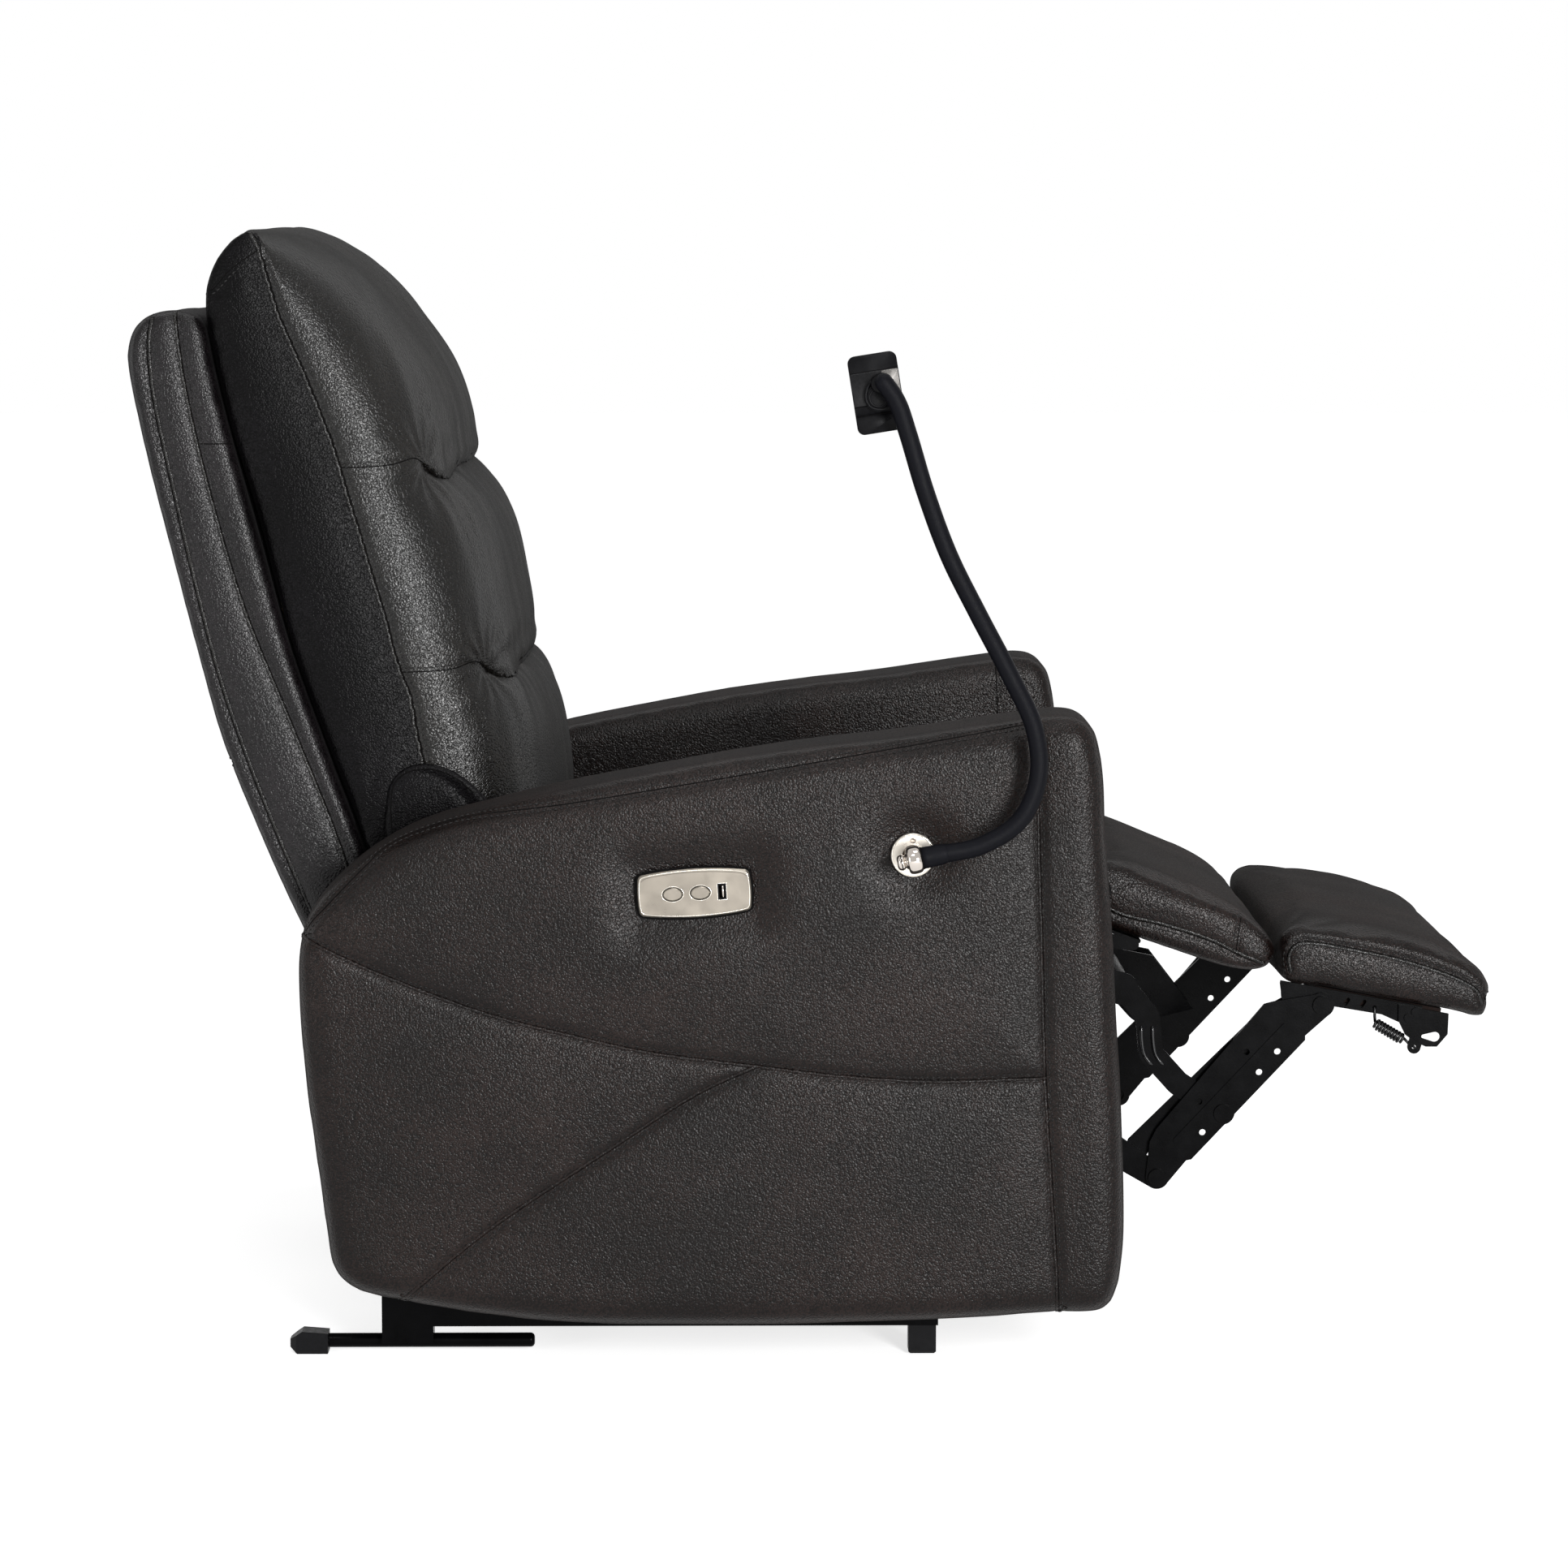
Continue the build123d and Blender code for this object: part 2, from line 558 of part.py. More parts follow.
# ---------------------------------------------------------------- footrest linkage
def make_linkage():
    """Two four-bar loops on each side: seat, lower link, channel link and rear link carry the footrest out, and
    lower link, upper link, bracket and channel link turn the ottoman flat."""
    with BuildPart() as rear_link:
        with BuildSketch(side(middle_layer_y + link_t)):
            with BuildLine(mode=Mode.PRIVATE) as spine:
                FilletPolyline(
                    upper_seat_pivot, (298, 356), (326, 322), (329, 286), (356, 256), channel_pivot,
                    radius=[24, 14, 14, 20],
                )
            trace(spine.line, line_width=24)
            hull_of((upper_seat_pivot, 13), (pad_link_low, 9))
            hull_of((channel_pivot, 12))
            hull_of((cross_tube_at, 16))
            punch(pivot_r + pivot_clearance, upper_seat_pivot, channel_pivot)
        extrude(amount=link_t)
        # pressed ribs up the bend
        with BuildSketch(side(middle_layer_y + link_t + 2)):
            for rib_shift in (-6.5, 4.5):
                with BuildLine(mode=Mode.PRIVATE) as rib:
                    FilletPolyline(
                        (326 + rib_shift, 312), (328.5 + rib_shift, 286), (337 + rib_shift, 275), radius=[12]
                    )
                trace(rib.line, line_width=3.5)
        extrude(amount=2)
        stud(side, pad_link_low)
    write_pair(rear_link.part, "rear_link")

    with BuildPart() as cross_tube:
        with BuildSketch(side(middle_layer_y)):
            with Locations(cross_tube_at):
                Circle(cross_tube_r)
                Circle(cross_tube_bore_r, mode=Mode.SUBTRACT)
        extrude(amount=2 * middle_layer_y)
    write(cross_tube.part, "cross_tube")

    with BuildPart() as lower_link:
        with BuildSketch(side(middle_layer_y + link_t)):
            hull_of((lower_seat_pivot, 11), (knee_pivot, 12))
            hull_of((upper_link_pivot, 12), (knee_pivot, 12))
            punch(pivot_r + pivot_clearance, lower_seat_pivot)
            punch(pivot_r + open_pivot_clearance, knee_pivot)
        extrude(amount=link_t)
        stud(side, upper_link_pivot)
    write_pair(lower_link.part, "lower_link")

    channel_angle = degrees(atan2(toe_pivot[1] - knee_pivot[1], toe_pivot[0] - knee_pivot[0]))
    channel_length = hypot(toe_pivot[1] - knee_pivot[1], toe_pivot[0] - knee_pivot[0])

    def channel_plane(y):
        return sloped(knee_pivot, -channel_angle, y)

    channel_knee = in_frame(channel_pivot, knee_pivot, -channel_angle)
    with BuildPart() as channel_link:
        with BuildSketch(channel_plane(plate_outer_y)):
            with BuildLine():
                Polyline(
                    (0, -11), (32, -9), (36, -12), (channel_length - 36, -12), (channel_length - 33, -9),
                    (channel_length, -12), (channel_length + 4, 11), (channel_length - 30, 37),
                    (channel_length - 38, 42), (35, 34), (21, 30), (-8, 8), close=True,
                )
            make_face()
            hull_of(((0, 0), 11))
            hull_of(((channel_length, 0), 12))
            punch(pivot_r, (0, 0), (channel_length, 0), channel_knee)
            punch(3.2, (channel_length - 63, 0), (channel_length - 90, -1), (63, -1.5))
            punch(3.2, (channel_length - 84, 22), (83, 22))
        extrude(amount=link_t)
        # pressed rib along the web
        with BuildSketch(channel_plane(plate_outer_y + 1.6)):
            with Locations((channel_length / 2, 12.5)):
                SlotOverall(channel_length - 74, 5)
        extrude(amount=1.6)
    write_pair(channel_link.part, "channel_link")

    with BuildPart() as channel_pins:
        for pivot in (knee_pivot, channel_pivot, toe_pivot):
            rivet(pivot, plate_outer_y - middle_layer_y)
        mirror(about=centre_plane)
    write(channel_pins.part, "channel_pins")

    upper_angle = degrees(atan2(heel_pivot[1] - upper_link_pivot[1], heel_pivot[0] - upper_link_pivot[0]))
    upper_length = hypot(heel_pivot[1] - upper_link_pivot[1], heel_pivot[0] - upper_link_pivot[0])
    with BuildPart() as upper_link:
        with BuildSketch(sloped(upper_link_pivot, -upper_angle, inner_layer_y + link_t)):
            with BuildLine():
                Polyline(
                    (0, 10), (14, 17), (upper_length - 26, 17), (upper_length, 10), (upper_length, -10),
                    (upper_length - 20, -6), (20, -6), (0, -10), close=True,
                )
            make_face()
            hull_of(((0, 0), 10))
            hull_of(((upper_length, 0), 10))
            punch(pivot_r + stud_clearance / 6, (0, 0))
            punch(pivot_r + stud_clearance, (upper_length, 0))
        extrude(amount=link_t)
    write_pair(upper_link.part, "upper_link")

    with BuildPart() as pad_links:
        with BuildSketch(side(inner_layer_y + link_t)):
            hull_of((pad_link_low, 9), (pad_link_high, 9))
            punch(pivot_r + pivot_clearance, pad_link_low)
            punch(pivot_r + stud_clearance, pad_link_high)
        extrude(amount=link_t)
        mirror(about=centre_plane)
    write(pad_links.part, "pad_links")


# ---------------------------------------------------------------- ottoman and mid pad
def make_ottoman():
    heel = in_frame(heel_pivot, toe_pivot, ottoman_slope)
    flange_top = flange_low + flange_t
    board_top = flange_top + board_t

    def ottoman_plane(y):
        return sloped(toe_pivot, ottoman_slope, y)

    with BuildPart() as ottoman_bracket:
        with BuildSketch(ottoman_plane(middle_layer_y + link_t)):
            with BuildLine():
                Polyline(
                    (-44, board_top - 0.2), (98, board_top - 0.2), (98, -2), (88, -6), (60, 1), (0, 0), (-40, 0), close=True
                )
            make_face()
            hull_of((heel, 12), ((0, 0), 13), ((-42, board_top - 2.2), 2))
            punch(pivot_r + pivot_clearance, (0, 0))
            with Locations((24, 7), (40, 8)):
                SlotOverall(9, 4, rotation=65, mode=Mode.SUBTRACT)
            with Locations(spring_hole):
                Circle(spring_hole_r, mode=Mode.SUBTRACT)
        extrude(amount=link_t)
        # inward flange that carries the board
        flange_reach = 35
        with BuildSketch(ottoman_plane(middle_layer_y)):
            with Locations((49, flange_low + flange_t / 2)):
                Rectangle(98, flange_t)
        extrude(amount=flange_reach)
        stud(ottoman_plane, heel)
    write_pair(ottoman_bracket.part, "ottoman_bracket")

    with BuildPart() as ottoman_board:
        with BuildSketch(ottoman_plane(inner_layer_y - 1)):
            with Locations((55, flange_top + board_t / 2)):
                Rectangle(126, board_t)
        extrude(amount=2 * (inner_layer_y - 1))
    write(ottoman_board.part, "ottoman_board")

    with BuildPart() as ottoman_pad:
        with BuildSketch(ottoman_plane(ottoman_half_width)):
            with BuildLine():
                FilletPolyline(
                    (-44, board_top), (-56, 62), (-30, 77), (60, 80), (148, 66), (164, 40), (159, 14), (134, board_top),
                    radius=[8, 18, 55, 450, 20, 26, 6, 3], close=True,
                )
            make_face()
        extrude(amount=2 * ottoman_half_width)
        fillet(ottoman_pad.faces().filter_by(Axis.Y).edges().group_by(Axis.Z)[-1], 14)
    write(ottoman_pad.part, "ottoman_pad")

    # safety stop plates riveted to the brackets, each with an eye for its spring
    with BuildPart() as ottoman_stop_plates:
        with BuildSketch(ottoman_plane(plate_outer_y)):
            with BuildLine():
                Polyline(
                    (74, 14), (124, 14), (127, -6), (119, -20), (108, -22), (96, -19), (86, -14), (77, -2), close=True
                )
            make_face()
            hull_of((spring_eye, 6.5), ((98, -12), 6.5))
            punch(spring_hole_r, spring_eye)
            with BuildSketch(Plane.XY, mode=Mode.PRIVATE) as window:
                for end, radius in (((104, -12.5), 2), ((115, -11), 5)):
                    with Locations(end):
                        Circle(radius)
                make_hull()
            add(window.sketch_local, mode=Mode.SUBTRACT)
        extrude(amount=link_t)
        for rivet_at in ((86, 3), (92, 10)):
            with BuildSketch(ottoman_plane(plate_outer_y + 2)):
                with Locations(rivet_at):
                    Circle(4.5)
            extrude(amount=2 + link_t + layer_gap)
        mirror(about=centre_plane)
    write(ottoman_stop_plates.part, "ottoman_stop_plates")

    # extension springs between the two, their hooks turned in through the bracket's hole and the plate's eye
    spring_r = 4.6
    wire_r = 0.9
    coil_start = (54.5, -8.5)
    coil_end = (86, -20)
    spring_y = (outer_layer_y + middle_layer_y + link_t) / 2
    bracket_hook_y = middle_layer_y + link_t + wire_r + 0.1
    plate_hook_y = outer_layer_y - wire_r - 0.1
    with BuildPart() as ottoman_springs:
        coil_ends = [ottoman_plane(spring_y).from_local_coords((x, z, 0)) for x, z in (coil_start, coil_end)]
        coil_axis = coil_ends[1] - coil_ends[0]
        with BuildSketch(Plane(origin=coil_ends[0], z_dir=coil_axis)):
            Circle(spring_r)
        extrude(amount=coil_axis.length)
        hooks = ((coil_start, spring_hole, bracket_hook_y, link_t), (coil_end, spring_eye, plate_hook_y, -link_t))
        for hook_from, hook_to, hook_y, turned_in in hooks:
            hook_plane = ottoman_plane(hook_y)
            ends = [hook_plane.from_local_coords((x, z, 0)) for x, z in (hook_from, hook_to)]
            wire = ends[1] - ends[0]
            with BuildSketch(Plane(origin=ends[0], z_dir=wire)):
                Circle(wire_r)
            extrude(amount=wire.length)
            with BuildSketch(hook_plane):
                with Locations(hook_to):
                    Circle(wire_r)
            extrude(amount=turned_in)
        mirror(about=centre_plane)
    write(ottoman_springs.part, "ottoman_springs")

    def pad_plane(y):
        return sloped(pad_hinge, mid_pad_slope, y)

    pad_stud = in_frame(pad_link_high, pad_hinge, mid_pad_slope)
    with BuildPart() as mid_pad:
        with BuildSketch(pad_plane(mid_pad_half_width)):
            with BuildLine():
                FilletPolyline(
                    (-21, mid_pad_bottom), (-20, 31), (80, 31), (158, 23), (189, -2), (180, -22), (135, mid_pad_bottom),
                    radius=[8, 16, 600, 60, 10, 12, 60], close=True,
                )
            make_face()
        extrude(amount=2 * mid_pad_half_width)
        fillet(mid_pad.faces().filter_by(Axis.Y).edges().group_by(Axis.Z)[-1], 12)
    write(mid_pad.part, "mid_pad")

    with BuildPart() as mid_pad_brackets:
        with BuildSketch(pad_plane(middle_layer_y + link_t)):
            hull_of(((0, 0), 11), (pad_stud, 9))
            hull_of((pad_stud, 9), ((50, mid_pad_bottom - 6), 5.5))
            punch(pivot_r + pivot_clearance, (0, 0))
        extrude(amount=link_t)
        with BuildSketch(pad_plane(middle_layer_y)):
            with Locations((34, mid_pad_bottom - flange_t / 2)):
                Rectangle(44, flange_t)
        extrude(amount=35)
        stud(pad_plane, pad_stud)
        mirror(about=centre_plane)
    write(mid_pad_brackets.part, "mid_pad_brackets")


# ---------------------------------------------------------------- drive
def make_drive():
    radius_mid = upper_seat_pivot[1] - drive_rail_z
    half_swing = footrest_travel / 2
    pin_reach = radius_mid / cos(radians(half_swing))
    pin_angle = radians(half_swing - 90)
    drive_pin = (upper_seat_pivot[0] + pin_reach * cos(pin_angle), drive_rail_z)

    def on_slot(reach):
        return (upper_seat_pivot[0] + reach * cos(pin_angle), upper_seat_pivot[1] + reach * sin(pin_angle))

    slot_ends = (on_slot(radius_mid - 1), on_slot(pin_reach + 1))
    with BuildPart() as drive_bracket:
        with BuildSketch(side(cheek_y + cheek_t)):
            with BuildLine():
                Polyline((300, 362), (349, 352), (391, 297), (359, 289), (333, 291), (300, 330), close=True)
            make_face()
            hull_of((cross_tube_at, 18), (slot_ends[0], 13))
            hull_of((slot_ends[0], slot_half_width + 7), (slot_ends[1], slot_half_width + 7))
            hull_of((cross_tube_at, 18))
            punch(cross_tube_r, cross_tube_at)
            with BuildSketch(Plane.XY, mode=Mode.PRIVATE) as slot:
                for end in slot_ends:
                    with Locations(end):
                        Circle(slot_half_width)
                make_hull()
            add(slot.sketch_local, mode=Mode.SUBTRACT)
        extrude(amount=cheek_t)
        mirror(about=centre_plane)
        with BuildSketch(side(cheek_y)):
            with Locations(cross_tube_at):
                Circle(cross_tube_r + 3)
                Circle(cross_tube_r, mode=Mode.SUBTRACT)
        extrude(amount=2 * cheek_y)
    write(drive_bracket.part, "drive_bracket")

    with BuildPart() as drive_rail:
        rail_mid = (drive_rail_rear_x + drive_rail_front_x) / 2
        with Locations((rail_mid, centre_y, drive_rail_z)):
            Box(drive_rail_front_x - drive_rail_rear_x, drive_rail_w, drive_rail_w)
            Box(drive_rail_front_x - drive_rail_rear_x, drive_rail_w - 4, drive_rail_w - 4, mode=Mode.SUBTRACT)
        hanger_h = crossbar_low - drive_rail_z - drive_rail_w / 2
        with Locations((seat_crossbar_x[0], centre_y, crossbar_low - hanger_h / 2)):
            Box(18, drive_rail_w, hanger_h)
    write(drive_rail.part, "drive_rail")

    with BuildPart() as drive_motor:
        gearbox_length = 60
        gearbox_h = 60
        gearbox_mid_x = drive_rail_rear_x - gearbox_length / 2
        with Locations((gearbox_mid_x, centre_y, drive_rail_z + 5)):
            Box(gearbox_length, 56, gearbox_h)
        fillet(drive_motor.edges().filter_by(Axis.Y), 9)
        tab_h = crossbar_low - (drive_rail_z + 5 + gearbox_h / 2)
        with Locations((gearbox_mid_x, centre_y, crossbar_low - tab_h / 2)):
            Box(22, 40, tab_h)
        with BuildSketch(Plane(origin=(gearbox_mid_x, centre_y, drive_rail_z - gearbox_h / 2 + 5))):
            Circle(22)
        extrude(amount=-95)
        fillet(drive_motor.faces().sort_by(Axis.Z)[0].edges(), 5)
    write(drive_motor.part, "drive_motor")

    with BuildPart() as drive_carriage:
        block_w = drive_rail_w + 12
        block_length = 44
        with Locations((drive_pin[0] + 8 - block_length / 2, centre_y, drive_rail_z)):
            Box(block_length, block_w, block_w + 4)
            Box(block_length, drive_rail_w + 2 * slide_play, drive_rail_w + 2 * slide_play, mode=Mode.SUBTRACT)
        with BuildSketch(side(cheek_y + cheek_t + 3)):
            with Locations(drive_pin):
                Circle(drive_pin_r)
        extrude(amount=cheek_y + cheek_t + 3 - block_w / 2)
        with BuildSketch(side(-block_w / 2)):
            with Locations(drive_pin):
                Circle(drive_pin_r)
        extrude(amount=cheek_y + cheek_t + 3 - block_w / 2)
    write(drive_carriage.part, "drive_carriage")


# ---------------------------------------------------------------- controls on the right arm
def make_controls():
    face = sloped(plate_at, -plate_tilt, -chair_half_width)
    with BuildPart() as control_plate:
        with BuildSketch(face):
            bulge = 3.0
            with BuildLine():
                ThreePointArc((-plate_w / 2, plate_h / 2 - 1), (0, plate_h / 2 + bulge), (plate_w / 2, plate_h / 2 - 1))
                ThreePointArc((plate_w / 2, plate_h / 2 - 1), (plate_w / 2 + 1.5, 0), (plate_w / 2, 1 - plate_h / 2))
                ThreePointArc((plate_w / 2, 1 - plate_h / 2), (0, -plate_h / 2 - bulge), (-plate_w / 2, 1 - plate_h / 2))
                ThreePointArc((-plate_w / 2, 1 - plate_h / 2), (-plate_w / 2 - 1.5, 0), (-plate_w / 2, plate_h / 2 - 1))
            make_face()
            fillet(vertices(), 5)
        extrude(amount=plate_t)
        chamfer(control_plate.faces().sort_by(Axis.Y)[0].edges(), 1.4)
        with BuildSketch(face.offset(plate_t)):
            with Locations(*[(x, 0) for x in button_x]):
                Ellipse(button_w / 2 + button_gap, button_h / 2 + button_gap)
            with Locations((usb_x, 0)):
                Rectangle(usb_slot_w + 2 * usb_wall, usb_slot_h + 2 * usb_wall)
        extrude(amount=-plate_t, mode=Mode.SUBTRACT)
    write(control_plate.part, "control_plate")

    with BuildPart() as usb_port:
        with BuildSketch(face.offset(plate_t - 0.4)):
            with Locations((usb_x, 0)):
                Rectangle(usb_slot_w + 2 * usb_wall, usb_slot_h + 2 * usb_wall)
        extrude(amount=-switch_pocket_depth - plate_t + 0.4)
        with BuildSketch(face.offset(plate_t - 0.4)):
            with Locations((usb_x, 0)):
                Rectangle(usb_slot_w, usb_slot_h)
        extrude(amount=-usb_depth, mode=Mode.SUBTRACT)
    write(usb_port.part, "usb_port")

    for name, x in zip(("recline_button", "return_button"), button_x):
        with BuildPart() as button:
            with BuildSketch(face.offset(plate_t + button_proud)):
                with Locations((x, 0)):
                    Ellipse(button_w / 2, button_h / 2)
            extrude(amount=-button_length)
            chamfer(button.faces().sort_by(Axis.Y)[0].edges(), 0.8)
        write(button.part, name)


# ---------------------------------------------------------------- phone holder
def smooth_radii(points):
    """Largest even rounding of a route's corners: 0.45 of the shorter run at each corner."""
    radii = []
    for before, here, after in zip(points, points[1:], points[2:]):
        run_in = Vector(*here) - Vector(*before)
        run_out = Vector(*after) - Vector(*here)
        turn = radians(run_in.get_angle(run_out))
        radii.append(0.45 * min(run_in.length, run_out.length) / tan(turn / 2))
    return radii


def make_phone_holder():
    stem_end = neck_y
    with BuildPart() as holder_flange:
        with BuildSketch(side(-chair_half_width)):
            with Locations(flange_at):
                Circle(holder_flange_r)
        extrude(amount=holder_flange_t)
        fillet(holder_flange.faces().sort_by(Axis.Y)[0].edges(), 1.8)
        with BuildSketch(side(-chair_half_width)):
            with Locations(flange_at):
                Circle(stem_r + pivot_clearance)
        extrude(amount=holder_flange_t, mode=Mode.SUBTRACT)
    write(holder_flange.part, "holder_flange")

    with BuildPart() as flange_screws:
        with BuildSketch(side(-chair_half_width - holder_flange_t)):
            with Locations(flange_at):
                with PolarLocations(14, 3, start_angle=90):
                    Circle(2.6)
        extrude(amount=1.2)
    write(flange_screws.part, "flange_screws")

    tip = neck_points[-1]
    cup = side(-stem_end).from_local_coords((*neck_points[0], 0)) - side(-stem_end).from_local_coords((*flange_at, 0))
    cup_length = 23.5
    neck_start = side(-stem_end).from_local_coords((*flange_at, 0)) + cup.normalized() * cup_length
    with BuildPart() as holder_knuckle:
        with BuildSketch(side(-chair_half_width)):
            with Locations(flange_at):
                Circle(stem_r)
        extrude(amount=stem_end - chair_half_width)
        with Locations((flange_at[0], centre_y - stem_end, flange_at[1])):
            Sphere(10.5, rotation=(90, 0, 180))
        with BuildSketch(Plane(origin=neck_start, z_dir=-cup)):
            Circle(9.4)
        extrude(amount=cup_length)
        with BuildSketch(side(-chair_half_width - holder_flange_t)):
            with Locations(flange_at):
                Circle(10.5)
        extrude(amount=5)
    write(holder_knuckle.part, "holder_knuckle")

    with BuildPart() as gooseneck:
        local_start = side(-neck_y).to_local_coords(neck_start)
        route_points = [(local_start.X, local_start.Y)] + neck_points
        with BuildLine(side(-neck_y)) as route:
            FilletPolyline(*route_points, radius=smooth_radii(route_points))
        with BuildSketch(Plane(origin=route.line @ 0, z_dir=route.line % 0)):
            Circle(neck_r)
        sweep()
        # end fitting with a socket for the ball stud
        with BuildSketch(side(-neck_y - 9)):
            with Locations(tip):
                Circle(neck_r + 1)
        extrude(amount=-17)
        with BuildSketch(side(-neck_y + 9)):
            with Locations(tip):
                Circle(stud_r)
        extrude(amount=12, mode=Mode.SUBTRACT)
    write(gooseneck.part, "gooseneck")

    ball_y = neck_y - 18
    with BuildPart() as clip_ball:
        with BuildSketch(side(-ball_y)):
            with Locations(tip):
                Circle(stud_r)
        extrude(amount=neck_y + 2.5 - ball_y)
        with Locations((tip[0], centre_y - ball_y, tip[1])):
            Sphere(ball_r)
    write(clip_ball.part, "clip_ball")

    # clip: back plate with a top lip, and a sliding jaw with a bottom lip
    clip_at = (54.0, 936.0)
    plate_y = ball_y - 10
    back_t = 5.0
    lip_t = 4.0
    lip_depth = 22.0
    jaw_gap = 0.4
    jaw_t = 3.0

    def clip_plane(y):
        return sloped(clip_at, -clip_tilt, -y)

    with BuildPart() as clip_back:
        with BuildSketch(clip_plane(plate_y)):
            with Locations((0, 11)):
                RectangleRounded(clip_w, 52, 6)
        extrude(amount=-back_t)
        with BuildSketch(clip_plane(plate_y - back_t)):
            with Locations((0, 34)):
                RectangleRounded(clip_w - 10, lip_t, 1.5)
        extrude(amount=back_t - lip_depth)
        with BuildSketch(side(-plate_y)):
            with Locations(tip):
                Circle(ball_r + 4)
        extrude(amount=14)
        with Locations((tip[0], centre_y - ball_y, tip[1])):
            Sphere(ball_r + ball_play, mode=Mode.SUBTRACT)
    write(clip_back.part, "clip_back")

    with BuildPart() as clip_jaw:
        with BuildSketch(clip_plane(plate_y - back_t - jaw_gap)):
            with Locations((0, -15)):
                RectangleRounded(clip_w - 14, 42, 4)
        extrude(amount=-jaw_t)
        with BuildSketch(clip_plane(plate_y)):
            with Locations((0, -28)):
                RectangleRounded(clip_w, 17, 5)
        extrude(amount=-back_t - jaw_gap)
        with BuildSketch(clip_plane(plate_y - back_t - jaw_gap - jaw_t)):
            with Locations((0, -34)):
                RectangleRounded(clip_w - 10, lip_t, 1.5)
        extrude(amount=back_t + jaw_gap + jaw_t - lip_depth)
    write(clip_jaw.part, "clip_jaw")


make_base()
make_seat_frame()
make_arms()
make_back()
make_linkage()
make_ottoman()
make_drive()
make_controls()
make_phone_holder()
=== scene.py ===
import bpy, bmesh, math
import numpy as np
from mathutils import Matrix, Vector, noise
from mathutils.bvhtree import BVHTree
from mathutils.kdtree import KDTree


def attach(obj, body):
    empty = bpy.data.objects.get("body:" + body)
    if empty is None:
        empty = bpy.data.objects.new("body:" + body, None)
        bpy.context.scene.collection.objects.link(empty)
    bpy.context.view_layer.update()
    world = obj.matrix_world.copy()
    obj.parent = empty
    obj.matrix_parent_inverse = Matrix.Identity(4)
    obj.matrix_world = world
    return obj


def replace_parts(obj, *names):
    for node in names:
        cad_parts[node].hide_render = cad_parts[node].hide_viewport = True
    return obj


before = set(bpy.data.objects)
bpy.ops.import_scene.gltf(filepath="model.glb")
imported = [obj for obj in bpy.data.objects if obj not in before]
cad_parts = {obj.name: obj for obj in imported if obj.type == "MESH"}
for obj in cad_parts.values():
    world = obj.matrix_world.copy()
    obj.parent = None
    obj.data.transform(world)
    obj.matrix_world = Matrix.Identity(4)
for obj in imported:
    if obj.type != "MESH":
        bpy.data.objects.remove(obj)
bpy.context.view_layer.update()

# places in mm, with y from the chair's own centre plane
CY = 24.25  # that plane in the frame
SIDES = {"right": -1, "left": 1}
ARM_OUTER, ARM_INNER = 418, 288.6  # the arms' faces
PLATE_X, PLATE_Z, PLATE_TILT = -116.5, 467.5, math.radians(3.4)  # middle of the switch plate
FLANGE_X, FLANGE_Z = 89, 503  # the holder's flange
NECK_Y, NECK_RADIUS = -458, 8.5  # the plane of the holder's arm
CLIP_X, CLIP_Z, CLIP_TILT = 54, 936, math.radians(9)  # middle of the phone clip
MID_PAD, OTTOMAN = (278, 448, 20), (496, 334, 10.5)  # where each footrest pad hangs, and its fall in degrees

# sewing, in mm
STITCH_PITCH, STITCH_LENGTH, THREAD_RADIUS = 5.6, 3.9, 0.8
CREASE_RADIUS, EDGE_RADIUS = 0.8, 2.1
TUCKED = 0.4  # how far a rolled edge lies below the surface

CLOTH_FRAMES = 20
FOCAL_LENGTH, SENSOR = 6100 / 1932, 36  # the photograph's, as a share of its width; mm


# ---- points and lines
def P(x, y, z):
    """Chair millimetres (y from the chair's centre plane) to metres in the frame."""
    return np.array([x, y + CY, z]) / 1000.0


def in_plane(profile, y):
    """Points x, z of a profile (mm) placed at y, in metres."""
    q = np.asarray(profile)
    return np.stack([q[:, 0], np.full(len(q), y + CY), q[:, 1]], 1) / 1000


def lengths(points):
    """How far along a polyline each of its points lies."""
    return np.r_[0, np.cumsum(np.linalg.norm(np.diff(points, axis=0), axis=1))]


def pick(points, s, at):
    """A polyline whose points lie at the lengths s, read off at other lengths."""
    return np.stack([np.interp(at, s, points[:, k]) for k in range(points.shape[1])], 1)


def resample(points, count):
    p = np.array(points, float)
    s = lengths(p)
    return pick(p, s, np.linspace(0, s[-1], count))


def smooth(points, step=6.0, closed=False):
    """Even points along a Catmull-Rom curve through the given ones (mm)."""
    p = np.array(points, float)
    n = len(p)
    out = []
    for i in range(n if closed else n - 1):
        if closed:
            a, b, c, d = p[i - 1], p[i], p[(i + 1) % n], p[(i + 2) % n]
        else:
            b, c = p[i], p[i + 1]
            a = p[i - 1] if i else 2 * b - c
            d = p[i + 2] if i + 2 < n else 2 * c - b
        la, lb, lc = (max(np.linalg.norm(q), 1e-6) ** 0.5 for q in (b - a, c - b, d - c))
        m1 = (c - b) + lb * ((b - a) / la - (c - a) / (la + lb))
        m2 = (c - b) + lb * ((d - c) / lc - (d - b) / (lb + lc))
        for t in np.linspace(0, 1, 12, endpoint=False):
            first = (2 * t**3 - 3 * t**2 + 1) * b + (t**3 - 2 * t**2 + t) * m1
            out.append(first + (-2 * t**3 + 3 * t**2) * c + (t**3 - t**2) * m2)
    out.append(p[0] if closed else p[-1])
    count = max(int(round(lengths(np.array(out))[-1] / step)), 4)
    even = resample(out, count + 1)
    return even[:-1] if closed else even


def line_at(profile, y, step=2.0):
    """An even line in the plane y (metres) through points x, z (mm)."""
    return in_plane(smooth(profile, step), y)


def both_sides(profile, y):
    """The same line on the right and on the left."""
    return [line_at(profile, sign * y) for sign in (-1, 1)]


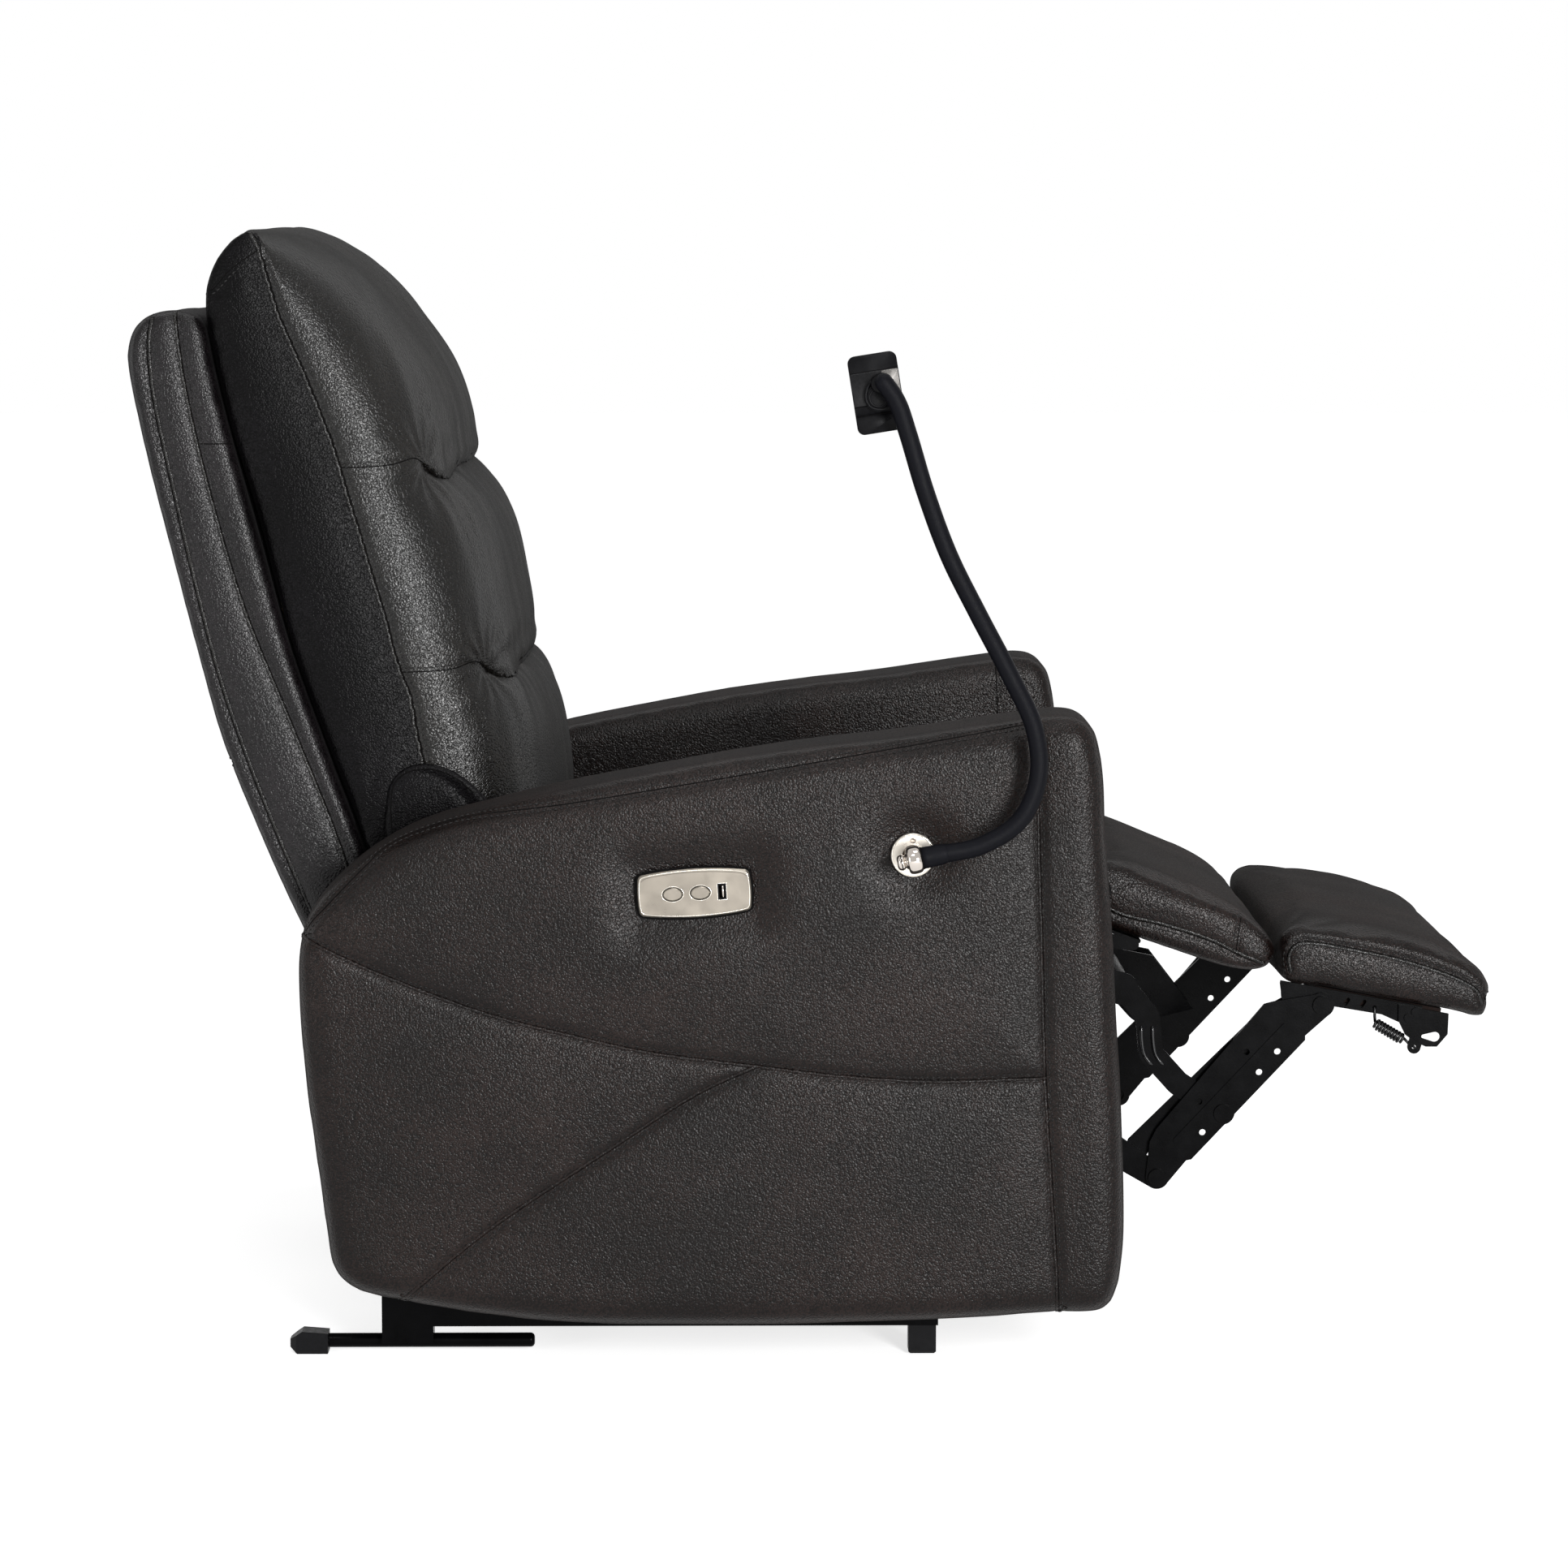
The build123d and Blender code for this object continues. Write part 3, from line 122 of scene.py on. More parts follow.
def line_through(points, step, sign=1):
    """An even line (metres) through chair points (mm), with their y taken times sign."""
    return smooth(np.array([P(x, sign * y, z) for x, y, z in points]) * 1000, step) / 1000


def turned(u, v, tilt):
    """The point u, v turned by an angle."""
    return u * math.cos(tilt) - v * math.sin(tilt), u * math.sin(tilt) + v * math.cos(tilt)


def on_slope(pad, *places):
    """Profile points that lie s along and n above the line on which a footrest pad hangs."""
    x, z, fall = pad
    return [(x + u, z + v) for u, v in (turned(s, n, -math.radians(fall)) for s, n in places)]


def oval(u, v, half_u, half_v, count=48):
    """Points round an oval."""
    turns = np.linspace(0, 2 * math.pi, count, endpoint=False)
    return [(u + half_u * math.cos(t), v + half_v * math.sin(t)) for t in turns]


def unit(rows):
    """Each row at length 1."""
    return rows / np.maximum(np.linalg.norm(rows, axis=1, keepdims=True), 1e-9)


def bell(d, width):
    """1 where d is 0, and falling off over the width."""
    return np.exp(-((d / width) ** 2))


def past_box(u, v, half_u, half_v):
    """How far points lie outside a rectangle round the origin."""
    return np.hypot(np.maximum(np.abs(u) - half_u, 0), np.maximum(np.abs(v) - half_v, 0))


def distance_to(co, line):
    """How far each vertex is from a polyline (metres), and where along it (0 to 1) its nearest point lies."""
    kd = KDTree(len(line))
    for i, p in enumerate(line):
        kd.insert(p, i)
    kd.balance()
    found = [kd.find(c)[1:] for c in co]
    near, dist = np.array(found).T
    return dist, near / (len(line) - 1)


def held_by(co, lines, width=0.010):
    """How firmly the seam lines hold each vertex: 1 on a line, falling to 0 beside it."""
    held = np.zeros(len(co))
    for line in lines:
        held = np.maximum(held, bell(distance_to(co, line)[0], width))
    return held


def fbm(co, scale, seed=0.0, stretch=(1, 1, 1)):
    """Smooth noise for each vertex, about -1 to 1."""
    off = Vector((seed, seed * 1.7, -seed))
    k = np.array(stretch) * scale
    return np.array([noise.noise(Vector(c * k) + off) for c in co])


# ---- meshes
def configure(thing, **settings):
    for key, value in settings.items():
        setattr(thing, key, value)


def shade_smooth(mesh):
    mesh.polygons.foreach_set("use_smooth", [True] * len(mesh.polygons))
    mesh.update()


def new_object(name, verts, faces, mat=None, smooth_shade=True):
    mesh = bpy.data.meshes.new(name)
    mesh.from_pydata([tuple(v) for v in verts], [], [tuple(f) for f in faces])
    mesh.update()
    obj = bpy.data.objects.new(name, mesh)
    bpy.context.scene.collection.objects.link(obj)
    if mat:
        mesh.materials.append(mat)
    if smooth_shade:
        shade_smooth(mesh)
    return obj


def vectors(items, key):
    """A vector of many vertices or faces, as rows."""
    flat = np.empty(len(items) * 3)
    items.foreach_get(key, flat)
    return flat.reshape(-1, 3)


def coords(obj):
    return vectors(obj.data.vertices, "co")


def normals(obj):
    return vectors(obj.data.vertices, "normal")


def set_coords(obj, co):
    obj.data.vertices.foreach_set("co", np.ascontiguousarray(co).ravel())
    obj.data.update()


def push(obj, move):
    """Moves each vertex out along its normal by its own distance (metres)."""
    set_coords(obj, coords(obj) + normals(obj) * move[:, None])


def groove(obj, line, depth, width):
    """Presses the surface in along a line (mm); depth may be a function of the way along."""
    d, t = distance_to(coords(obj), line)
    deep = depth(t) if callable(depth) else depth
    push(obj, -deep / 1000 * bell(d, width / 1000))


def evaluated_mesh(obj):
    deps = bpy.context.evaluated_depsgraph_get()
    return bpy.data.meshes.new_from_object(obj.evaluated_get(deps))


def modify(obj, kind, **settings):
    """Sets up one modifier and applies it."""
    configure(obj.modifiers.new(kind.lower(), kind), **settings)
    mesh = evaluated_mesh(obj)
    old = obj.data
    obj.modifiers.clear()
    obj.data = mesh
    bpy.data.meshes.remove(old)
    shade_smooth(mesh)


def remesh(obj, voxel):
    modify(obj, "REMESH", mode="VOXEL", voxel_size=voxel, use_smooth_shade=True)


def relax(obj, times):
    modify(obj, "SMOOTH", iterations=times, factor=0.5)


def refine(obj):
    """One subdivision."""
    modify(obj, "SUBSURF", levels=1, render_levels=1)


def inflate(obj, pinned, pressure, cap):
    """Blows the padding up as cloth round a filling; pinned is how firmly the seams hold each vertex."""
    start = coords(obj)
    group = obj.vertex_groups.new(name="seams")
    for i in np.nonzero(pinned > 0.02)[0]:
        group.add([int(i)], float(min(pinned[i], 1.0)), "REPLACE")
    cloth = obj.modifiers.new("cloth", "CLOTH")
    configure(
        cloth.settings, quality=5, mass=0.3, tension_stiffness=15, compression_stiffness=15,
        shear_stiffness=5, bending_stiffness=0.6, use_pressure=True, uniform_pressure_force=pressure,
        vertex_group_mass="seams",
    )
    cloth.settings.effector_weights.gravity = 0
    cloth.collision_settings.use_collision = False
    configure(cloth.point_cache, frame_start=1, frame_end=CLOTH_FRAMES)
    scene = bpy.context.scene
    for f in range(1, CLOTH_FRAMES + 1):
        scene.frame_set(f)
    mesh = evaluated_mesh(obj)
    step = vectors(mesh.vertices, "co") - start
    bpy.data.meshes.remove(mesh)
    obj.modifiers.clear()
    obj.vertex_groups.clear()
    scene.frame_set(1)
    size = np.linalg.norm(step, axis=1)
    limit = cap * np.tanh(size / cap) / np.maximum(size, 1e-9)
    set_coords(obj, start + step * limit[:, None])


def face_out(obj):
    """Turns every face outwards."""
    bm = bmesh.new()
    bm.from_mesh(obj.data)
    bmesh.ops.recalc_face_normals(bm, faces=bm.faces)
    bm.to_mesh(obj.data)
    bm.free()


def ring_faces(rings, n):
    """Faces of a closed solid made of rings of n points, with flat ends."""
    faces = []
    for r in range(rings - 1):
        for i in range(n):
            a, b = r * n + i, r * n + (i + 1) % n
            faces.append((a, b, b + n, a + n))
    faces.append(tuple(range(n))[::-1])
    faces.append(tuple(range((rings - 1) * n, rings * n)))
    return faces


def loft(name, rings, mat):
    """Closed solid from rings of equal length (metres), with flat ends."""
    obj = new_object(name, np.concatenate(rings), ring_faces(len(rings), len(rings[0])), mat)
    face_out(obj)
    return obj


def offset_profile(points, inset):
    """A closed profile moved inwards (mm)."""
    p = np.array(points, float)
    ahead, behind = np.roll(p, -1, 0), np.roll(p, 1, 0)
    double_area = np.sum(p[:, 0] * ahead[:, 1] - ahead[:, 0] * p[:, 1])
    t = ahead - behind
    t /= np.linalg.norm(t, axis=1, keepdims=True)
    return p + np.stack([-t[:, 1], t[:, 0]], 1) * (1 if double_area > 0 else -1) * inset


def rounded_rings(profile, y0, y1, r0, r1, steps=5):
    """Rings (metres) of a profile extruded from y0 to y1, with its edges rounded to the radii r0 and r1."""
    sign = 1 if y1 > y0 else -1
    quarter = [math.pi / 2 * k / steps for k in range(steps + 1)]
    places = [(y0 + sign * r0 * (1 - math.cos(a)), r0 * (1 - math.sin(a))) for a in quarter]
    places += [(y1 - sign * r1 * (1 - math.cos(a)), r1 * (1 - math.sin(a))) for a in reversed(quarter)]
    return [in_plane(offset_profile(profile, inset), y) for y, inset in places]


# ---- lines laid on surfaces
def surface_of(obj):
    return BVHTree.FromObject(obj, bpy.context.evaluated_depsgraph_get())


def drape(tree, line, look=None, lift=0.0):
    """Points and normals of a polyline (metres) put on a surface, along look or at the nearest place."""
    reach = 0.08
    pts, nos = [], []
    for p in line:
        p = Vector(p)
        hit = None
        if look is not None:
            hit, no, _, _ = tree.ray_cast(p - Vector(look) * reach, Vector(look), 2 * reach)
        if hit is None:
            hit, no, _, _ = tree.find_nearest(p)
        pts.append(np.array(hit + no * lift))
        nos.append(np.array(no))
    return np.array(pts), np.array(nos)


def shift_line(tree, pts, nos, offset, lift):
    """The line moved sideways over the surface by offset metres."""
    side = np.cross(nos, unit(np.gradient(pts, axis=0)))
    return drape(tree, pts + side * offset, None, lift)


def tube_mesh(pts, radius, sides=6, flat=1.0, nos=None):
    """Vertices and faces of a tube along points; flat squeezes it along the surface normal."""
    pts = np.asarray(pts, float)
    tan = unit(np.gradient(pts, axis=0))
    if nos is None:
        nos = []
        up = np.array([0.0, 1.0, 0.0]) if abs(tan[0][1]) < 0.9 else np.array([1.0, 0.0, 0.0])
        for t in tan:
            up = up - t * np.dot(up, t)
            up /= max(np.linalg.norm(up), 1e-9)
            nos.append(up)
        nos = np.array(nos)
    side = unit(np.cross(nos, tan))
    rad = np.broadcast_to(np.asarray(radius, float), (len(pts),))
    verts = []
    for i, p in enumerate(pts):
        for k in range(sides):
            a = 2 * math.pi * k / sides
            verts.append(p + rad[i] * (math.cos(a) * side[i] + flat * math.sin(a) * nos[i]))
    return verts, ring_faces(len(pts), sides)


class Bag:
    """Collects small meshes that share a material into one piece."""

    def __init__(self):
        self.verts, self.faces = [], []

    def add(self, verts, faces):
        n = len(self.verts)
        self.verts.extend(verts)
        self.faces.extend(tuple(i + n for i in f) for f in faces)

    def tube(self, pts, radius, sides=6, flat=1.0, nos=None):
        self.add(*tube_mesh(pts, radius, sides, flat, nos))

    def lathe(self, shape, sides):
        """A turned form, from pairs of a point on its axis (metres) and a radius (mm)."""
        self.tube([p for p, _ in shape], np.array([r for _, r in shape]) / 1000, sides)

    def loop(self, pts, radius, sides=8):
        """A closed tube through points (metres) that lie in the plane of the chair's side."""
        closed = np.concatenate([pts, pts[:1]])
        out = np.tile(np.array([0.0, -1.0, 0.0]), (len(closed), 1))
        verts, faces = tube_mesh(closed, radius, sides, 1.0, out)
        n = len(pts) * sides
        self.add(verts[:n], [tuple(i % n for i in f) for f in faces[:-2]])

    def stitches(self, pts, nos):
        """Thread dashes along a draped line, each dipping into the leather at its ends."""
        s = lengths(pts)
        for k in range(int(s[-1] / (STITCH_PITCH / 1000))):
            a = (k + 0.15) * STITCH_PITCH / 1000
            b = a + STITCH_LENGTH / 1000
            at = np.array([a, (a + b) / 2, b])
            no = pick(nos, s, at)
            line = pick(pts, s, at) + no * (np.array([-0.0002, 0.00025, -0.0002])[:, None])
            self.tube(line, np.array([0.5, 1.0, 0.5]) * THREAD_RADIUS / 1000, 5, 0.9, no)

    def make(self, name, mat, body, slot):
        obj = new_object(name, self.verts, self.faces, mat)
        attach(obj, body)
        return obj


class Seams:
    """The creases, drawn as dark lines of painted shade, the rolled edges and the top stitching of one
    leather piece.
    """

    def __init__(self, obj):
        self.surface = surface_of(obj)
        self.creases, self.edges, self.threads = Bag(), Bag(), Bag()

    def sew(self, line, look=None, rows=(4.0,), welt=None):
        """One seam: its crease as a dark line of painted shade, rows of stitches and, with a welt, a rolled
        edge (mm to the side).
        """
        pts, nos = drape(self.surface, line, look)
        # painted shade: a dark tube sunk just under the surface along the seam's line
        self.creases.tube(pts - nos * 0.0003, CREASE_RADIUS / 1000, 5, 0.8, nos)
        if welt:
            edge, edge_nos = shift_line(self.surface, pts, nos, welt / 1000, -TUCKED / 1000)
            k = np.arange(len(edge))
            swell = 1 + 0.10 * np.sin(k * 1.3) * np.sin(k * 0.37)
            self.edges.tube(edge, EDGE_RADIUS / 1000 * swell, 8, 0.85, edge_nos)
        for row in rows:
            self.threads.stitches(*shift_line(self.surface, pts, nos, row / 1000, 0.0001))

    def sew_sides(self, lines, row, welt=None):
        """The same seam on the right and the left, each put on straight from its own side."""
        for sign, line in zip((-1, 1), lines):
            self.sew(line, (0, -sign, 0), (row * sign,), welt and welt * sign)

    def make(self, prefix, body, edge_mat=None):
        """The sewn lines as up to three pieces."""
        self.creases.make(prefix + "_creases", CREASE_SHADE, body, "leather")
        if self.edges.verts:
            self.edges.make(prefix + "_rolled_edges", edge_mat or HIDE, body, "leather")
        self.threads.make(prefix + "_stitching", THREAD, body, "leather")


def upholster(obj, body, node_name):
    """Hangs one padded leather piece on its body and hides the solid in its place."""
    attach(obj, body)
    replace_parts(obj, node_name)


# ---- materials
def node_mat(name):
    mat = bpy.data.materials.new(name)
    mat.use_nodes = True
    nt = mat.node_tree
    return mat, nt, nt.nodes["Principled BSDF"]


def feed(nt, socket, value):
    """Gives an input another node's output, or a plain value."""
    if isinstance(value, bpy.types.NodeSocket):
        nt.links.new(value, socket)
    else:
        socket.default_value = value


def node(nt, kind, *feeds, **named):
    """A new node: feeds go to its inputs in their order, named ones to the input or setting of that name."""
    n = nt.nodes.new("ShaderNode" + kind)
    for socket, value in zip(n.inputs, feeds):
        feed(nt, socket, value)
    for key, value in named.items():
        if key in n.inputs:
            feed(nt, n.inputs[key], value)
        else:
            setattr(n, key, value)
    return n


def calc(nt, operation, *feeds):
    return node(nt, "Math", *feeds, operation=operation).outputs[0]


def noise_map(nt, vector, scale, detail, **named):
    return node(nt, "TexNoise", Vector=vector, Scale=scale, Detail=detail, **named).outputs["Fac"]


def remap(nt, value, low, high, to_low, to_high):
    return node(nt, "MapRange", value, low, high, to_low, to_high).outputs[0]


def bumps(nt, height, strength, distance):
    return node(nt, "Bump", Strength=strength, Distance=distance, Height=height).outputs["Normal"]


def ramp(nt, source, *stops):
    r = node(nt, "ValToRGB", source)
    el = r.color_ramp.elements
    for k, at in ((0, 0), (1, -1)):
        el[k].position, el[k].color = stops[at][0], (*stops[at][1], 1)
    for pos, col in stops[1:-1]:
        el.new(pos).color = (*col, 1)
    return r.outputs[0]


def shade(nt, bsdf, color, rough, normal, spec=None):
    feed(nt, bsdf.inputs["Base Color"], color)
    feed(nt, bsdf.inputs["Roughness"], rough)
    feed(nt, bsdf.inputs["Normal"], normal)
    if spec is not None:
        bsdf.inputs["Specular IOR Level"].default_value = spec


def leather(name, dark, light, rough=(0.23, 0.32), spec=0.24):
    """Pebbled leather: raised cells, creases, mottled dye darker in the creases between the cells as painted
    shade and lighter on their tops as painted highlight, and a sheen that dulls at a glancing look.
    """
    mat, nt, bsdf = node_mat(name)
    grain = 520.0  # cells in a metre
    here = node(nt, "TexCoord").outputs["Object"]
    warp = node(nt, "TexNoise", Vector=here, Scale=260.0, Detail=2.0).outputs["Color"]
    bent = node(nt, "MixRGB", 0.0020, here, warp, blend_type="LINEAR_LIGHT").outputs[0]
    pebbles = node(nt, "TexVoronoi", feature="SMOOTH_F1", Vector=bent, Scale=grain, Smoothness=0.2)
    cells = pebbles.outputs["Distance"]
    domes = calc(nt, "MULTIPLY", cells, cells)
    creases = noise_map(nt, here, 60.0, 4.0, Roughness=0.6, Distortion=0.8)
    height = noise_map(nt, here, grain * 1.6, 1.0, Roughness=0.5)
    for source, weight in ((domes, -5.5), (creases, 0.35)):
        height = calc(nt, "MULTIPLY_ADD", source, weight, height)
    mottle = noise_map(nt, here, 9.0, 5.0, Roughness=0.6)
    # painted shade and highlight: the dye darkens towards each cell's edge, in the creases, and lightens
    # towards its top
    tone = calc(nt, "MULTIPLY_ADD", cells, -0.85, mottle)
    color = ramp(nt, tone, (0.0, tuple(0.25 * v for v in dark)), (0.22, dark), (0.5, light))
    facing = node(nt, "LayerWeight", Blend=0.5).outputs["Facing"]
    dull = remap(nt, facing, 0.5, 0.85, 0.0, 0.6)
    polish = node(nt, "Math", remap(nt, cells, 0.1, 0.7, *rough), dull, operation="ADD", use_clamp=True)
    shade(nt, bsdf, color, polish.outputs[0], bumps(nt, height, 1.0, 0.00008), spec)
    bsdf.distribution = "GGX"
    return mat


def hard(name, color, rough, metallic=0.0, noise_scale=60.0, bump=0.06, vary=0.25, spec=0.5):
    """Metal, plastic, rubber or thread, with faint unevenness in its tone and polish."""
    mat, nt, bsdf = node_mat(name)
    here = node(nt, "TexCoord").outputs["Object"]
    broad = noise_map(nt, here, noise_scale, 6.0, Roughness=0.6)
    fine = noise_map(nt, here, noise_scale * 14, 3.0)
    low = tuple(max(c * (1 - vary), 0) for c in color)
    high = tuple(min(c * (1 + vary), 1) for c in color)
    polish = remap(nt, broad, 0.3, 0.7, rough * 0.8, min(rough * 1.25, 1))
    shade(nt, bsdf, ramp(nt, broad, (0.3, low), (0.7, high)), polish, bumps(nt, fine, bump, 0.0004), spec)
    bsdf.inputs["Metallic"].default_value = metallic
    return mat


def wood(name):
    mat, nt, bsdf = node_mat(name)
    here = node(nt, "TexCoord").outputs["Object"]
    wave = node(nt, "TexWave", Vector=here, Scale=28.0, Distortion=6.0, Detail=3.0)
    wave.inputs["Detail Scale"].default_value = 1.4
    rings = wave.outputs["Fac"]
    color = ramp(nt, rings, (0.0, (0.42, 0.28, 0.16)), (1.0, (0.62, 0.45, 0.29)))
    shade(nt, bsdf, color, 0.7, bumps(nt, rings, 0.2, 0.0005))
    return mat


def webbing(name):
    mat, nt, bsdf = node_mat(name)
    here = node(nt, "TexCoord").outputs["Object"]
    threads = [node(nt, "TexWave", Vector=here, Scale=260.0, bands_direction=way) for way in "YX"]
    weave = calc(nt, "MAXIMUM", *(n.outputs["Fac"] for n in threads))
    color = ramp(nt, weave, (0.2, (0.02, 0.02, 0.02)), (0.9, (0.11, 0.11, 0.11)))
    shade(nt, bsdf, color, 0.85, bumps(nt, weave, 0.5, 0.0006))
    return mat


HIDE = leather("leather_front", (0.0048, 0.0040, 0.0032), (0.0080, 0.0069, 0.0056), (0.20, 0.28), 0.25)
ARM_HIDE = leather("leather_arm", (0.0088, 0.0052, 0.0044), (0.0140, 0.0088, 0.0075), spec=0.14)
SHELL_HIDE = leather("leather_shell", (0.0056, 0.0043, 0.0050), (0.0096, 0.0078, 0.0088), spec=0.21)
# purple-grey leather of the pillow's side panels and the ears, made darker than the rest as painted shade
SHADED_SIDE_HIDE = leather("leather_side_painted_shade", (0.0022, 0.0019, 0.0023), (0.0044, 0.0040, 0.0047), (0.26, 0.36), 0.065)
THREAD = hard("thread", (0.005, 0.0046, 0.0046), 0.5, 0.0, 300, vary=0.4, spec=0.25)
# dark tubes laid in seams, creases, gaps and joints, standing in for the shade there: painted shade
CREASE_SHADE = hard("crease", (0.002, 0.0018, 0.0018), 0.8, spec=0.05)
STEEL = hard("black_steel", (0.0012, 0.0012, 0.0014), 0.24, 0.0, 45, 0.15, 0.5, 0.035)
GLOSS_STEEL = hard("glossy_black_steel", (0.004, 0.004, 0.0045), 0.14, 0.0, 80, 0.1, 0.4)
SPRING = hard("spring_steel", (0.003, 0.003, 0.0034), 0.25, 0.0, 120, 0.1, spec=0.2)
GLOSS_PLASTIC = hard("slider_plastic", (0.0030, 0.0030, 0.0036), 0.30, 0.0, 260, 0.1, 0.3, 0.16)
PLASTIC = hard("black_plastic", (0.0028, 0.0028, 0.0034), 0.42, 0.0, 260, 0.2, 0.3, 0.09)
RUBBER = hard("neck_rubber", (0.0016, 0.0017, 0.0030), 0.50, 0.0, 400, 0.3, 0.3, 0.07)
BOARD = hard("board_cloth", (0.012, 0.0075, 0.0065), 0.9, 0.0, 500, 0.5, 0.3, 0.1)
POLISHED = hard("polished_champagne", (0.74, 0.70, 0.63), 0.12, 1.0, 40, 0.02, 0.05)
NICKEL = hard("bright_nickel", (0.50, 0.46, 0.42), 0.09, 1.0, 30, 0.02, 0.06)
SATIN = hard("satin_nickel", (0.56, 0.525, 0.47), 0.30, 1.0, 50, 0.04, 0.05)
CHAMPAGNE = hard("satin_champagne", (0.205, 0.185, 0.157), 0.32, 1.0, 50, 0.05, 0.05)
INLAY = hard("clip_inlay", (0.12, 0.115, 0.11), 0.42, 1.0, 300, 0.05, 0.3)
WOOD = wood("ply")
WEB = webbing("webbing")

# the solids are steel unless named here
OTHER_SOLIDS = {
    "seat_frame arm_frame_left arm_frame_right back_frame": WOOD,
    "floor_bar_caps front_feet drive_motor drive_carriage clip_back clip_jaw clip_ball usb_port": PLASTIC,
    "control_plate recline_button return_button": CHAMPAGNE,
    "flange_screws holder_knuckle": NICKEL,
    "holder_flange": SATIN,
    "ottoman_board": BOARD,
    "gooseneck": RUBBER,
    "seat_webbing": WEB,
}
solid_looks = {name: mat for names, mat in OTHER_SOLIDS.items() for name in names.split()}
for name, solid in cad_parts.items():
    solid.data.materials.clear()
    solid.data.materials.append(solid_looks.get(name, STEEL))


# ---- camera, floor, light
def aim(obj, direction):
    obj.rotation_euler = Vector(direction).to_track_quat("-Z", "Y").to_euler()
    bpy.context.scene.collection.objects.link(obj)


def camera():
    cam = bpy.data.cameras.new("camera")
    configure(cam, sensor_width=SENSOR, lens=FOCAL_LENGTH * SENSOR, clip_end=100)
    obj = bpy.data.objects.new("camera", cam)
    pitch, yaw = math.radians(6.008), math.radians(0.6165)
    obj.location = P(-82, -5038, 1056.4)
    aim(obj, (math.sin(yaw) * math.cos(pitch), math.cos(yaw) * math.cos(pitch), -math.sin(pitch)))
    bpy.context.scene.camera = obj


def backdrop_rays(nt):
    """1 for the rays that should see the white background: the camera's, and those in metal and glass."""
    path = node(nt, "LightPath").outputs
    seen = calc(nt, "MAXIMUM", path["Is Camera Ray"], path["Is Glossy Ray"])
    return calc(nt, "MAXIMUM", seen, path["Is Transmission Ray"])


def floor():
    mat, nt, bsdf = node_mat("floor")
    patches = node(nt, "TexNoise", Scale=3.0, Detail=3.0).outputs["Fac"]
    feed(nt, bsdf.inputs["Base Color"], ramp(nt, patches, (0.3, (0.87, 0.87, 0.87)), (0.7, (0.9, 0.9, 0.9))))
    feed(nt, bsdf.inputs["Emission Strength"], calc(nt, "MULTIPLY", backdrop_rays(nt), 0.71))
    for key, value in (("Roughness", 0.95), ("Specular IOR Level", 0.0), ("Emission Color", (1, 1, 1, 1))):
        bsdf.inputs[key].default_value = value
    corners = [(30 * x, 30 * y, -0.0005) for x, y in ((-1, -1), (1, -1), (1, 1), (-1, 1))]
    new_object("floor", corners, [(0, 1, 2, 3)], mat, False)


def backdrop():
    world = bpy.data.worlds.new("world")
    bpy.context.scene.world = world
    world.use_nodes = True
    nt = world.node_tree
    sky = nt.nodes["Background"].inputs
    sky["Color"].default_value = (1, 1, 1, 1)
    feed(nt, sky["Strength"], remap(nt, backdrop_rays(nt), 0.0, 1.0, 0.34, 1.0))


def area_light(name, at, to, size, power):
    light = bpy.data.lights.new(name, "AREA")
    configure(light, shape="RECTANGLE", size=size[0], size_y=size[1], energy=power)
    obj = bpy.data.objects.new(name, light)
    obj.location = at
    aim(obj, Vector(to) - Vector(at))


camera()
floor()
backdrop()
area_light("overhead", (0.3, -0.9, 3.2), (0, 0, 0.4), (1.2, 0.8), 18)
area_light("key", (1.65, -4.85, 1.20), (-0.40, -0.25, 0.80), (1.0, 1.7), 300)
area_light("left_strip", (-2.55, -2.60, 0.85), (-0.6, -0.26, 0.76), (0.4, 1.6), 17)
area_light("front", (-0.5, -2.4, 2.7), (0, 0, 0.5), (0.7, 0.5), 16)
bpy.context.scene.view_settings.view_transform = "Standard"


# ---- arms
ARM = [
    (-462, 111), (-466, 135), (-472, 182), (-478, 228), (-484, 275), (-488, 321), (-491, 368), (-490, 412),
    (-480, 446), (-446, 484), (-407, 512), (-368, 530), (-313, 545), (-247, 561), (-165, 577), (-83, 592),
    (0, 604), (72, 612), (149, 623), (198, 630), (223, 633), (241, 632), (254, 626), (262, 614), (266, 597),
    (270, 569), (272, 528), (278, 444), (284, 343), (289, 250), (292, 180), (292, 133), (290, 110), (286, 86),
    (279, 69), (268, 62), (223, 60), (117, 55), (-6, 51), (-122, 50), (-214, 52), (-314, 61), (-418, 78),
    (-441, 86), (-455, 97),
]
ARM_SEAMS = {
    "top": [
        (-486, 425), (-478, 438), (-464, 453), (-426, 492), (-403, 512), (-342, 535), (-235, 551), (-83, 576),
        (39, 597), (120, 611), (196, 625),
    ],
    "front": [(203, 628), (206, 600), (208, 544), (213, 390), (216, 290), (222, 195), (228, 100), (230, 58)],
    "swoosh": [
        (-487, 426), (-442, 404), (-388, 381), (-312, 353), (-236, 333), (-159, 316), (-60, 303), (24, 293),
        (109, 288), (216, 291),
    ],
    "diagonal": [(-56, 301), (-114, 274), (-198, 220), (-314, 142), (-397, 73)],
}


